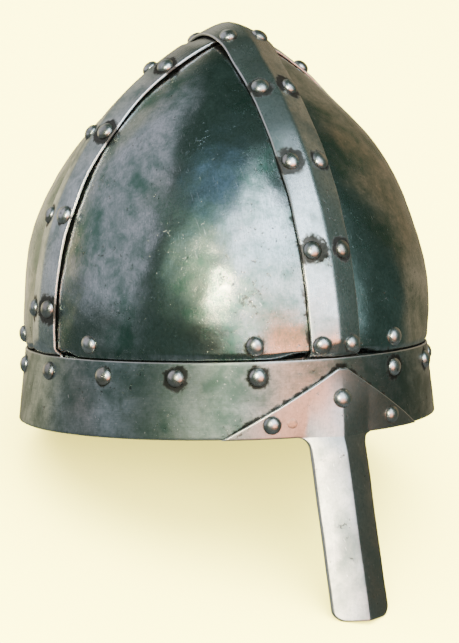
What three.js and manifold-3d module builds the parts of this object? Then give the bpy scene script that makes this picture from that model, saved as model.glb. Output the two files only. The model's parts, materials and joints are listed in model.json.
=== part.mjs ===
// Spangenhelm: a riveted steel helmet. Four curved plates close the gaps between two crossed straps, a brow
// band goes round the foot of them all, and a nose guard is riveted on the front of the band.
// Millimetres, +Z up. The front of the helmet faces -Y and the wearer's right side faces -X. The helmet is
// shaped upright, with the rim of the band in its own plane z = 0, and is then leant back as it lies on a
// flat surface: on the lower corners of the nose guard and on the back of the rim.
import * as THREE from 'three';
import { mergeVertices } from 'three/addons/utils/BufferGeometryUtils.js';
import Module from 'manifold-3d';

const wasm = await Module();
wasm.setup();

// ---- driving dimensions, mm ----
const RIM_LENGTH = 215;            // outside of the band at its lower rim, front to back
const RIM_WIDTH = 204;             // the same, side to side
const BAND_TOP_LENGTH = 219;     // outside of the band at its upper edge
const BAND_TOP_WIDTH = 193.4;
const BAND_HEIGHT = 34.7;
const BAND_THICKNESS = 1.5;
const BAND_SEGMENTS = 64;

const CROWN_LENGTH = 218;        // outside of the plates just above the band
const CROWN_WIDTH = 193;
const CROWN_Z = 186;             // tip of the plates' surface above the rim
const CROWN_SHIFT = -11.6;           // the tip stands this far forward of the middle
const FRONT_CURVE = 2.05;          // how full the crown is seen from the side
const SIDE_CURVE = 2.53;           // how full it is seen from the front
const TIP_ROUND = 0.166;           // how blunt the tip is
const CROWN_FALL = 1.69;           // how fast it closes towards the tip
const CROWN_BOW = 3.7;             // its middle stands back by this half way up
const CROWN_SQUARE = 0.26;         // half way up its outline is a little squarer than an oval
const TUCK = 3.4;                  // the plates step in by this to pass under the band
const TUCK_RISE = 3.6;             // height over which that comes out again
const PLATE_TUCK = 2;              // the plates alone need less, away from the straps
const PLATE_TUCK_RISE = 2.4;
const DRESSED_FROM = 15;           // distance from a strap's middle where the plate starts to come out
const FOOT_Z = 12;                 // plates and straps end this far above the rim, behind the band
const PLATE_THICKNESS = 1.3;
const SEAM_HALF_GAP = 3;           // half the open seam between two plates, hidden under a strap

const STRAP_THICKNESS = 1.4;
const LONG_STRAP_HALF_WIDTH = 12.6;
const CROSS_STRAP_HALF_WIDTH = 12.2;
const LONG_STRAP_ROOF = 3.1;       // height of the fold that runs along its middle
const CROSS_STRAP_ROOF = 2.3;
const CROSS_STRAP_FOOT_Y = -3.3;   // middle line of the cross strap at the band
const LIFT = 2.3;                  // the long strap rises over the cross strap at the tip

const GUARD_THICKNESS = 1.8;
const GUARD_TOP_Z = 31.4;          // point of the triangular plate on the band
const GUARD_BASE_HALF = 53;        // half its width along the rim
const GUARD_HALF_WIDTH = 14.3;     // half the width of the bar over the nose
const GUARD_DROP = 79.5;           // length of the bar below the rim
const GUARD_LEAN = 18.3;           // how far its lower end stands forward
const GUARD_ROOF = 7;              // height of the crease down the middle of the bar
const GUARD_CREASE_HALF = 16;      // half the width that the crease takes up
const GUARD_CREASE_RISE = 42;      // the crease grows from nothing at the point over this height
const GUARD_POINT_SIDE = 2.8;      // its point sits this far to the wearer's left of the bar's middle
const FACE_RADIUS = 103;           // radius on which widths are measured round the band

const RIVET_RADIUS = 4.3;
const RIVET_HEIGHT = 3.1;
const GAP = 0.45;                  // clearance kept between pieces that touch
const RIVET_GAP = 0.35;

// ---- finishes ----
const FINISHES = {
  plate: { color: 0x5c5f5a, roughness: 0.34, metalness: 1 },
  strap: { color: 0x8a8d8c, roughness: 0.3, metalness: 1 },
  band: { color: 0x85878a, roughness: 0.36, metalness: 1 },
  guard: { color: 0x9a9c99, roughness: 0.32, metalness: 1 },
  rivet: { color: 0xa4a5a0, roughness: 0.26, metalness: 1 },
};

function steel(finish) {
  return new THREE.MeshStandardMaterial(FINISHES[finish]);
}

function smooth(value) {
  const t = Math.min(Math.max(value, 0), 1);
  return t * t * (3 - 2 * t);
}

// ---- the crown: the outer surface that the four plates share ----

function fullness(t, curve) {
  const v = 1 - t ** curve;
  return Math.sqrt((v ** CROWN_FALL + TIP_ROUND * v) / (1 + TIP_ROUND));
}

// Half length, half width, middle and squareness of the crown's oval outline at one height.
function crownAt(z) {
  const t = Math.min(Math.max((z - BAND_HEIGHT) / (CROWN_Z - BAND_HEIGHT), 0), 1);
  const tuck = TUCK * (1 - smooth((z - BAND_HEIGHT - 0.5) / TUCK_RISE));
  const below = Math.max(1 - z / BAND_HEIGHT, 0);
  const flareLong = (below * (RIM_LENGTH - BAND_TOP_LENGTH)) / 2;
  const flareWide = (below * (RIM_WIDTH - BAND_TOP_WIDTH)) / 2;
  const a = (CROWN_LENGTH / 2) * fullness(t, FRONT_CURVE) - tuck + flareLong;
  const b = (CROWN_WIDTH / 2) * fullness(t, SIDE_CURVE) - tuck + flareWide;
  const swell = 4 * t * (1 - t);
  return { a, b, y: CROWN_SHIFT * t + CROWN_BOW * swell, n: 2 + CROWN_SQUARE * swell };
}

// Point on that outline; angle is 0 at the front and grows towards the wearer's left.
function crownPoint(angle, z) {
  const { a, b, y, n } = crownAt(z);
  const [sine, cosine] = [Math.sin(angle), Math.cos(angle)];
  const bend = (value) => Math.sign(value) * Math.abs(value) ** (2 / n);
  return new THREE.Vector3(b * bend(sine), y - a * bend(cosine), z);
}

// Negative inside the crown, positive outside it.
function crownField(p) {
  if (p.z > CROWN_Z - 0.001) {
    return 1 + p.z - CROWN_Z;
  }
  const { a, b, y, n } = crownAt(p.z);
  return Math.abs(p.x / b) ** n + Math.abs((p.y - y) / a) ** n - 1;
}

function crownNormal(p) {
  const h = 0.05;
  const slope = (x, y, z) => {
    const step = new THREE.Vector3(x, y, z).multiplyScalar(h);
    return crownField(p.clone().add(step)) - crownField(p.clone().sub(step));
  };
  return new THREE.Vector3(slope(1, 0, 0), slope(0, 1, 0), slope(0, 0, 1)).normalize();
}

// Where a path that starts inside the crown leaves it; path(r) is the point at distance r.
function crownExit(path) {
  let inner = 0;
  let outer = 260;
  for (let i = 0; i < 48; i += 1) {
    const middle = (inner + outer) / 2;
    if (crownField(path(middle)) < 0) {
      inner = middle;
    } else {
      outer = middle;
    }
  }
  return path(inner);
}

// ---- solids ----

function finishSolid(positions, index) {
  const geometry = new THREE.BufferGeometry();
  geometry.setAttribute('position', new THREE.Float32BufferAttribute(positions, 3));
  geometry.setIndex(index);
  const box = new THREE.Box3().setFromBufferAttribute(geometry.getAttribute('position'));
  const middle = box.getCenter(new THREE.Vector3());
  const corner = [0, 1, 2].map(() => new THREE.Vector3());
  let volume = 0;
  for (let i = 0; i < index.length; i += 3) {
    corner.forEach((v, k) => v.fromArray(positions, index[i + k] * 3).sub(middle));
    volume += corner[0].dot(corner[1].cross(corner[2]));
  }
  if (volume < 0) {
    for (let i = 0; i < index.length; i += 3) {
      [index[i], index[i + 1]] = [index[i + 1], index[i]];
    }
    geometry.setIndex(index);
  }
  geometry.computeVertexNormals();
  return geometry;
}

// A sheet between two grids of points that have the same rows and columns. keep says which cells are metal,
// and the sheet is closed with a wall along every cell edge that has none beyond it.
function sheetSolid(outside, inside, keep = () => true) {
  const rows = outside.length;
  const columns = outside[0].length;
  const positions = [];
  const index = [];
  const known = new Map();
  const at = (side, r, c) => {
    const key = (side * rows + r) * columns + c;
    if (!known.has(key)) {
      const p = (side ? inside : outside)[r][c];
      known.set(key, positions.length / 3);
      positions.push(p.x, p.y, p.z);
    }
    return known.get(key);
  };
  const metal = (r, c) => r >= 0 && c >= 0 && r + 1 < rows && c + 1 < columns && keep(r, c);
  const quad = (a, b, c, d) => index.push(a, b, c, a, c, d);
  const wall = (r1, c1, r2, c2) => quad(at(0, r2, c2), at(0, r1, c1), at(1, r1, c1), at(1, r2, c2));
  for (let r = 0; r + 1 < rows; r += 1) {
    for (let c = 0; c + 1 < columns; c += 1) {
      if (metal(r, c)) {
        quad(at(0, r, c), at(0, r, c + 1), at(0, r + 1, c + 1), at(0, r + 1, c));
        quad(at(1, r, c), at(1, r + 1, c), at(1, r + 1, c + 1), at(1, r, c + 1));
        if (!metal(r - 1, c)) {
          wall(r, c, r, c + 1);
        }
        if (!metal(r, c + 1)) {
          wall(r, c + 1, r + 1, c + 1);
        }
        if (!metal(r + 1, c)) {
          wall(r + 1, c + 1, r + 1, c);
        }
        if (!metal(r, c - 1)) {
          wall(r + 1, c, r, c);
        }
      }
    }
  }
  return finishSolid(positions, index);
}

function toManifold(geometry) {
  const bare = geometry.clone();
  bare.deleteAttribute('normal');
  bare.deleteAttribute('uv');
  const merged = mergeVertices(bare, 1e-4);
  return new wasm.Manifold(new wasm.Mesh({
    numProp: 3,
    vertProperties: new Float32Array(merged.getAttribute('position').array),
    triVerts: new Uint32Array(merged.index.array),
  }));
}

// One body out of a sheet and the rivet heads that are forged on to it.
function join(sheet, heads) {
  const body = heads.reduce((sum, head) => sum.add(toManifold(head)), toManifold(sheet));
  const mesh = body.getMesh();
  return finishSolid([...mesh.vertProperties], [...mesh.triVerts]);
}

// ---- plates ----

const PLATE_LEVELS = [12, 24, 34.9, 36.1, 37.4, 39.3, 42, 47, 58, 72, 88, 104, 120, 135, 149, 161, 171, 177.5, 181.5];
const PLATE_COLUMNS = 8;

// How far a plate stands out from the crown that the straps follow, just above the band.
function plateDressed(p) {
  const nearest = Math.min(Math.abs(p.x), Math.abs(p.y - crossLine(p.z)));
  const strapTuck = TUCK * (1 - smooth((p.z - BAND_HEIGHT - 0.5) / TUCK_RISE));
  const plateTuck = PLATE_TUCK * (1 - smooth((p.z - BAND_HEIGHT - 0.2) / PLATE_TUCK_RISE));
  return (strapTuck - plateTuck) * smooth((nearest - DRESSED_FROM) / DRESSED_FROM);
}

// quarter 0 runs from the front to the wearer's left (+X), and so on anticlockwise seen from above.
function plateGrid(quarter, depth) {
  return PLATE_LEVELS.map((z) => {
    const { a, b } = crownAt(z);
    const fromLong = Math.asin(Math.min(SEAM_HALF_GAP / b, 0.5));
    const fromCross = Math.asin(Math.min(SEAM_HALF_GAP / a, 0.5));
    const [first, last] = quarter % 2 ? [fromCross, fromLong] : [fromLong, fromCross];
    return Array.from({ length: PLATE_COLUMNS + 1 }, (_, i) => {
      const angle = (quarter * Math.PI) / 2 + first + ((Math.PI / 2 - first - last) * i) / PLATE_COLUMNS;
      const p = crownPoint(angle, z);
      return p.addScaledVector(crownNormal(p), plateDressed(p) - depth);
    });
  });
}

// ---- straps ----

const FOOT_LEVELS = [FOOT_Z, 24, 35.1, 36.3, 37.6, 39, 42, 47];
const SWEEP = [-4, 4, 12, 20, 28, 36, 44, 52, 59, 66, 72, 77, 81.5, 85.5, 88, 90];
const SWEEP_CENTRE_Z = 60;

// Middle line of the cross strap: it leans forward as it climbs, to meet the tip.
function crossLine(z) {
  const t = Math.min(Math.max((z - BAND_HEIGHT) / (CROWN_Z - BAND_HEIGHT), 0), 1);
  return CROSS_STRAP_FOOT_Y + (CROWN_SHIFT - CROSS_STRAP_FOOT_Y) * t;
}

// Point on the crown under a strap: side is -1 or 1 for the two legs, s is measured across the strap.
const STRAPS = {
  long: {
    half: LONG_STRAP_HALF_WIDTH,
    roof: LONG_STRAP_ROOF,
    point: (along, z, s) => new THREE.Vector3(s, CROWN_SHIFT + along, z),
    fade: (p) => 0.5 + 0.5 * smooth((Math.abs(p.y - CROWN_SHIFT) - 8) / 24),
    lift: (p) => LIFT * (1 - smooth((Math.abs(p.y - CROWN_SHIFT) - 18) / 14)),
  },
  cross: {
    half: CROSS_STRAP_HALF_WIDTH,
    roof: CROSS_STRAP_ROOF,
    point: (along, z, s) => new THREE.Vector3(along, crossLine(z) + s, z),
    fade: (p) => smooth((Math.abs(p.x) - 14) / 10),
    lift: () => 0,
  },
};

function strapStations(strap) {
  const leg = (side) => [
    ...FOOT_LEVELS.map((z) => (s) => crownExit((r) => strap.point(side * r, z, s))),
    ...SWEEP.slice(0, -1).map((degrees) => {
      const angle = (degrees * Math.PI) / 180;
      const [cos, sin] = [Math.cos(angle), Math.sin(angle)];
      return (s) => crownExit((r) => strap.point(side * r * cos, SWEEP_CENTRE_Z + r * sin, s));
    }),
  ];
  const top = (s) => crownExit((r) => strap.point(0, SWEEP_CENTRE_Z + r, s));
  return [...leg(-1), top, ...leg(1).reverse()];
}

// Moves a point of the crown out to the strap's face; depth 0 is its outside.
function strapFace(strap, p, s, depth) {
  const fade = strap.fade(p) * smooth((p.z - BAND_HEIGHT) / 8);
  const roof = strap.roof * (1 - Math.abs(s) / strap.half) * fade;
  const out = GAP + STRAP_THICKNESS - depth + roof + strap.lift(p);
  return p.clone().addScaledVector(crownNormal(p), out);
}

function strapGrid(strap, depth) {
  const across = [-1, -0.5, 0, 0.5, 1].map((k) => k * strap.half);
  return strapStations(strap).map((station) => across.map((s) => strapFace(strap, station(s), s, depth)));
}

// ---- band and nose guard ----

// Point on the outside of the band; angle is 0 at the front and grows towards the wearer's left.
function bandPoint(angle, z, out = 0) {
  const k = Math.max(z, 0) / BAND_HEIGHT;
  const a = RIM_LENGTH / 2 + ((BAND_TOP_LENGTH - RIM_LENGTH) / 2) * k + out;
  const b = RIM_WIDTH / 2 + ((BAND_TOP_WIDTH - RIM_WIDTH) / 2) * k + out;
  return new THREE.Vector3(b * Math.sin(angle), -a * Math.cos(angle), z);
}

function bandSolid() {
  const positions = [];
  const index = [];
  for (let i = 0; i < BAND_SEGMENTS; i += 1) {
    const angle = ((i + 0.5) * 2 * Math.PI) / BAND_SEGMENTS;
    const ring = [
      bandPoint(angle, 0),
      bandPoint(angle, BAND_HEIGHT),
      bandPoint(angle, BAND_HEIGHT, -BAND_THICKNESS),
      bandPoint(angle, 0, -BAND_THICKNESS),
    ];
    ring.forEach((p) => positions.push(p.x, p.y, p.z));
    const next = (i + 1) % BAND_SEGMENTS;
    for (let k = 0; k < 4; k += 1) {
      const m = (k + 1) % 4;
      index.push(i * 4 + k, next * 4 + k, next * 4 + m, i * 4 + k, next * 4 + m, i * 4 + m);
    }
  }
  return finishSolid(positions, index);
}

// Outside of the nose guard, u round the band and v up from the rim.
function guardFace(u, v, depth) {
  const angle = (u + (GUARD_POINT_SIDE * Math.max(v, 0)) / GUARD_TOP_Z) / FACE_RADIUS;
  const grown = smooth((GUARD_TOP_Z - v) / GUARD_CREASE_RISE);
  const roof = GUARD_ROOF * Math.max(1 - Math.abs(u) / GUARD_CREASE_HALF, 0) * grown;
  const p = bandPoint(angle, v, GAP + GUARD_THICKNESS - depth + roof);
  p.y -= (GUARD_LEAN * Math.max(-v, 0)) / GUARD_DROP;
  return p;
}

// The bar carries on from the middle columns of the triangular plate; the outer ones end at the rim.
const BAR_SHARE = 0.366;
const GUARD_COLUMNS = [0.12, 0.244, BAR_SHARE, 0.52, 0.68, 0.84, 1];
const BAR_EDGE_COLUMN = 4;

function guardSolid() {
  const columns = [...GUARD_COLUMNS.map((k) => -k).reverse(), 0, ...GUARD_COLUMNS];
  const onBand = [1, 5, 10, 15, 20, 25.5, 31.5].map((drop) => GUARD_TOP_Z - drop);
  const rows = [
    ...onBand.map((v) => [v, GUARD_BASE_HALF * (1 - v / GUARD_TOP_Z)]),
    ...[
      [-1.2, GUARD_HALF_WIDTH + 2.4],
      [-3, GUARD_HALF_WIDTH + 0.7],
      [-5.5, GUARD_HALF_WIDTH],
      [-30, GUARD_HALF_WIDTH],
      [-54, GUARD_HALF_WIDTH],
      [-GUARD_DROP + 5, GUARD_HALF_WIDTH],
      [-GUARD_DROP + 2.6, GUARD_HALF_WIDTH - 0.9],
      [-GUARD_DROP + 0.9, GUARD_HALF_WIDTH - 2.8],
      [-GUARD_DROP, GUARD_HALF_WIDTH - 5.4],
    ].map(([v, half]) => [v, half / BAR_SHARE]),
  ];
  const inBar = (c) => c >= BAR_EDGE_COLUMN && c < columns.length - 1 - BAR_EDGE_COLUMN;
  const keep = (r, c) => r + 1 < onBand.length || inBar(c);
  const grid = (depth) => rows.map(([v, half]) => columns.map((k) => guardFace(k * half, v, depth)));
  return sheetSolid(grid(0), grid(GUARD_THICKNESS), keep);
}

// ---- rivets ----

const HEAD_PROFILE = [[0, 0], [1, 0], [0.86, 0.56], [0.48, 0.93], [0, 1]];

function headGeometry() {
  const profile = HEAD_PROFILE.map(([r, h]) => new THREE.Vector2(r * RIVET_RADIUS, h * RIVET_HEIGHT));
  const geometry = new THREE.LatheGeometry(profile, 10);
  return geometry.rotateX(Math.PI / 2);
}

// Place and direction of a head on a face given as face(across, along), both in mm.
function seat(face, across, along) {
  const p = face(across, along);
  const side = face(across + 0.6, along).sub(face(across - 0.6, along));
  const up = face(across, along + 0.6).sub(face(across, along - 0.6));
  const normal = side.cross(up).normalize();
  if (normal.dot(new THREE.Vector3(p.x, p.y, p.z - 60)) < 0) {
    normal.negate();
  }
  return { p, normal };
}

function rivet(name, { p, normal }) {
  const mesh = new THREE.Mesh(headGeometry(), steel('rivet'));
  mesh.name = name;
  mesh.position.copy(p).addScaledVector(normal, RIVET_GAP);
  mesh.quaternion.setFromUnitVectors(new THREE.Vector3(0, 0, 1), normal);
  return mesh;
}

function forgedHead({ p, normal }) {
  const turn = new THREE.Quaternion().setFromUnitVectors(new THREE.Vector3(0, 0, 1), normal);
  const move = p.clone().addScaledVector(normal, -0.5);
  return headGeometry().applyMatrix4(new THREE.Matrix4().compose(move, turn, new THREE.Vector3(1, 1, 1)));
}

const PAIR_HALF = 7.5;             // rivet pairs on the straps sit this far either side of the fold
const LONG_PAIRS = [40.7, 81.9, 121.2, 155.5];
const CROSS_PAIRS = [56.7, 99.7, 137.5, 167.4];
const TIP_PAIR_ALONG = 16;         // the last pair on the long strap, before and behind the tip
const BAND_ROW_Z = 27.7;
const BAND_ROW_DEGREES = [21.2, 42.1, 62.9, 85, 106, 129, 154];
const PLATE_RIVET_DEGREES = 21.5;
const PLATE_RIVET_Z = 41.6;

function strapSeat(strap, side, s, z) {
  const ground = (across, up) => crownExit((r) => strap.point(side * r, up, across));
  return seat((across, up) => strapFace(strap, ground(across, up), across, 0), s, z);
}

function tipSeat(side, s) {
  const strap = STRAPS.long;
  const face = (across, along) => {
    const onCrown = crownExit((r) => strap.point((side * along * r) / 125, SWEEP_CENTRE_Z + r, across));
    return strapFace(strap, onCrown, across, 0);
  };
  return seat(face, s, TIP_PAIR_ALONG);
}

function plateHeads(quarter) {
  return [PLATE_RIVET_DEGREES, 90 - PLATE_RIVET_DEGREES].map((degrees) => {
    const angle = ((quarter * 90 + degrees) * Math.PI) / 180;
    const p = crownPoint(angle, PLATE_RIVET_Z);
    return forgedHead({ p, normal: crownNormal(p) });
  });
}

// ---- assembly ----

const helmet = new THREE.Group();

function add(name, geometry, finish) {
  const mesh = new THREE.Mesh(geometry, steel(finish));
  mesh.name = name;
  helmet.add(mesh);
}

const PLATE_NAMES = ['plate_front_left', 'plate_back_left', 'plate_back_right', 'plate_front_right'];
PLATE_NAMES.forEach((name, quarter) => {
  const sheet = sheetSolid(plateGrid(quarter, 0), plateGrid(quarter, PLATE_THICKNESS));
  add(name, join(sheet, plateHeads(quarter)), 'plate');
});

const crossStrap = sheetSolid(strapGrid(STRAPS.cross, 0), strapGrid(STRAPS.cross, STRAP_THICKNESS));
add('strap_side_to_side', crossStrap, 'strap');

const tipHeads = [-1, 1].flatMap((side) => [-PAIR_HALF, PAIR_HALF].map((s) => forgedHead(tipSeat(side, s))));
const longStrap = sheetSolid(strapGrid(STRAPS.long, 0), strapGrid(STRAPS.long, STRAP_THICKNESS));
add('strap_front_to_back', join(longStrap, tipHeads), 'strap');

add('brow_band', bandSolid(), 'band');
add('nose_guard', guardSolid(), 'guard');

const bandFace = (u, z) => bandPoint(u / FACE_RADIUS, z);
const bandSeat = (degrees) => seat(bandFace, (degrees * Math.PI * FACE_RADIUS) / 180, BAND_ROW_Z);
BAND_ROW_DEGREES.forEach((degrees, i) => {
  helmet.add(rivet(`rivet_band_right_${i + 1}`, bandSeat(-degrees)));
  helmet.add(rivet(`rivet_band_left_${i + 1}`, bandSeat(degrees)));
});
helmet.add(rivet('rivet_band_back', bandSeat(180)));

const guardSeat = (u, v) => seat((across, up) => guardFace(across, up, 0), u, v);
helmet.add(rivet('rivet_guard_top', guardSeat(0, 16.8)));
helmet.add(rivet('rivet_guard_right', guardSeat(-31.5, 6.4)));
helmet.add(rivet('rivet_guard_left', guardSeat(31.5, 6.4)));

[['front', -1], ['back', 1]].forEach(([leg, side]) => LONG_PAIRS.forEach((z, i) => {
  helmet.add(rivet(`rivet_${leg}_${i + 1}a`, strapSeat(STRAPS.long, side, -PAIR_HALF, z)));
  helmet.add(rivet(`rivet_${leg}_${i + 1}b`, strapSeat(STRAPS.long, side, PAIR_HALF, z)));
}));
[['right', -1], ['left', 1]].forEach(([leg, side]) => CROSS_PAIRS.forEach((z, i) => {
  helmet.add(rivet(`rivet_${leg}_${i + 1}a`, strapSeat(STRAPS.cross, side, -PAIR_HALF, z)));
  helmet.add(rivet(`rivet_${leg}_${i + 1}b`, strapSeat(STRAPS.cross, side, PAIR_HALF, z)));
}));

// ---- lying on a surface ----

// Every corner of a mesh, in the helmet's own upright frame.
function corners(name) {
  const mesh = helmet.getObjectByName(name);
  const at = mesh.geometry.getAttribute('position');
  return Array.from({ length: at.count }, (_, i) => new THREE.Vector3().fromBufferAttribute(at, i));
}

// The angle at which the nose guard and the back of the rim are equally low.
function restAngle() {
  const backRim = corners('brow_band').filter((p) => p.y > 0);
  const guard = corners('nose_guard');
  let angle = 0;
  for (let i = 0; i < 40; i += 1) {
    const height = (p) => p.z * Math.cos(angle) - p.y * Math.sin(angle);
    const lowest = (list) => list.reduce((low, p) => (height(p) < height(low) ? p : low));
    const front = lowest(guard);
    const back = lowest(backRim);
    angle = Math.atan2(back.z - front.z, back.y - front.y);
  }
  return angle;
}

helmet.rotation.x = -restAngle();
const part = new THREE.Group();
part.add(helmet);
part.updateMatrixWorld(true);
const box = new THREE.Box3().setFromObject(part, true);
helmet.position.set(-(box.min.x + box.max.x) / 2, -(box.min.y + box.max.y) / 2, -box.min.z);

export default part;
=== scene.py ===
"""A riveted steel spangenhelm: four crown plates, two crossed straps, a brow band and a nose guard.

Sizes are in millimetres in the helmet's own upright frame: the rim of the band lies in z = 0, the front faces -Y
and the wearer's left is +X. RestPose turns that frame into the way the helmet lies on the floor, in metres.
"""

import json
import logging
import math
from dataclasses import dataclass
from enum import Enum
from typing import Any, Callable, Optional, Sequence

import bmesh
import bpy
import numpy as np
from mathutils import Matrix, Vector


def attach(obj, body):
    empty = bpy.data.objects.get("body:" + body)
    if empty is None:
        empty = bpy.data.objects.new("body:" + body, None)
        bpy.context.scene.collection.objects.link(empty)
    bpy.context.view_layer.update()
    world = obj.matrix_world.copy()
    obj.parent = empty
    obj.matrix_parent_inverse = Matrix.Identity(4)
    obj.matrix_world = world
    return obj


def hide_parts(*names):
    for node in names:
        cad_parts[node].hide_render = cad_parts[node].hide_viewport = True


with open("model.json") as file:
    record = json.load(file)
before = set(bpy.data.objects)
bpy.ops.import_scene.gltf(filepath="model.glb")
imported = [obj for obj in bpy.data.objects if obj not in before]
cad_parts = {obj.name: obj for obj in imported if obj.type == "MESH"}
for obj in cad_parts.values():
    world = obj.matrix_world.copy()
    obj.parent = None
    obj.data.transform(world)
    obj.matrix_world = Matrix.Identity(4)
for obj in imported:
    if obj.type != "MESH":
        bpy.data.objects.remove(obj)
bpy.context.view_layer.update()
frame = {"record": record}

LOG = logging.getLogger("spangenhelm")

# How far the forge's scale reaches round each rivet follows from this seed.
SCALE_SEED = 93
RIVET_RADIUS_MM = 4.3
# The straps are swept round a middle this far under the tip.
TIP_ABOVE_MIDDLE_MM = 125.0
# Further from a rivet or a lap than any mark reaches.
FAR_MM = 99.0
# Each rivet's distances are stretched by a number between these, so its scale reaches further or less far.
SCALE_REACH = (0.8, 1.45)
# A place round the helmet is its angle times this, so that it counts in mm.
ROUND_MM = 100.0
# Every outside faces away from the point this far up in the helmet's middle.
MIDDLE_Z_MM = 60.0

Array = np.ndarray
Sockets = dict[str, bpy.types.NodeSocket]


# ---------------------------------------------------------------- small helpers

def smooth(value: Array) -> Array:
    """Return the smooth step of a value, 0 below 0 and 1 above 1."""
    t = np.clip(value, 0.0, 1.0)
    return t * t * (3.0 - 2.0 * t)


def srgb(colour: str) -> tuple[float, float, float, float]:
    """Turn an sRGB hex colour into the linear colour that a shader takes.

    Args:
        colour: The colour as "#rrggbb".

    Returns:
        Linear red, green, blue and an alpha of 1.
    """
    parts = [int(colour[i:i + 2], 16) / 255.0 for i in (1, 3, 5)]
    linear = [c / 12.92 if c <= 0.04045 else ((c + 0.055) / 1.055) ** 2.4 for c in parts]
    return (linear[0], linear[1], linear[2], 1.0)


@dataclass(frozen=True)
class Undulation:
    """The shallow unevenness that hammering leaves in a sheet, as a sum of seeded waves."""

    depth_mm: float
    length_mm: float
    seed: int
    waves: int = 26

    def at(self, points: Array) -> Array:
        """Find how high the sheet stands.

        Args:
            points: Points of the sheet in mm.

        Returns:
            The height of the unevenness at each point in mm.
        """
        rng = np.random.default_rng(self.seed)
        total = np.zeros(points.shape[:-1])
        for _ in range(self.waves):
            way = rng.normal(size=3)
            way /= np.linalg.norm(way)
            length = self.length_mm * rng.uniform(0.6, 1.7)
            total += np.sin(points @ way * (2.0 * math.pi / length) + rng.uniform(0.0, 2.0 * math.pi))
        return total * self.depth_mm * math.sqrt(2.0 / self.waves)


@dataclass(frozen=True)
class RestPose:
    """How the upright helmet is leant back on the floor."""

    tilt: float
    shift_m: tuple[float, float, float]

    @classmethod
    def from_record(cls, record: dict[str, Any]) -> "RestPose":
        """Read the pose from the face of the rim that the record names.

        Args:
            record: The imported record.

        Returns:
            The pose whose rim plane and fore-and-aft line are those of that face.
        """
        mount = next(m for m in record["mounts"] if m["name"] == "rim_underside")
        across, up = mount["axis"][1], mount["axis"][2]
        return cls(math.atan2(-across, -up), (0.0, mount["pos_m"][1], mount["pos_m"][2]))

    def matrix(self) -> Matrix:
        """Return the matrix from the helmet's frame in mm to the scene in m."""
        turn = Matrix.Rotation(-self.tilt, 4, "X")
        return Matrix.Translation(self.shift_m) @ turn @ Matrix.Scale(0.001, 4)

    def place(self, points: Array) -> Array:
        """Return points in mm as points of the scene in m."""
        m = np.array(self.matrix())
        return points @ m[:3, :3].T + m[:3, 3]

    def turn(self, directions: Array) -> Array:
        """Return directions of the helmet's frame as directions of the scene."""
        m = np.array(self.matrix())[:3, :3] * 1000.0
        return directions @ m.T


# ---------------------------------------------------------------- the shapes that every piece follows

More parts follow.
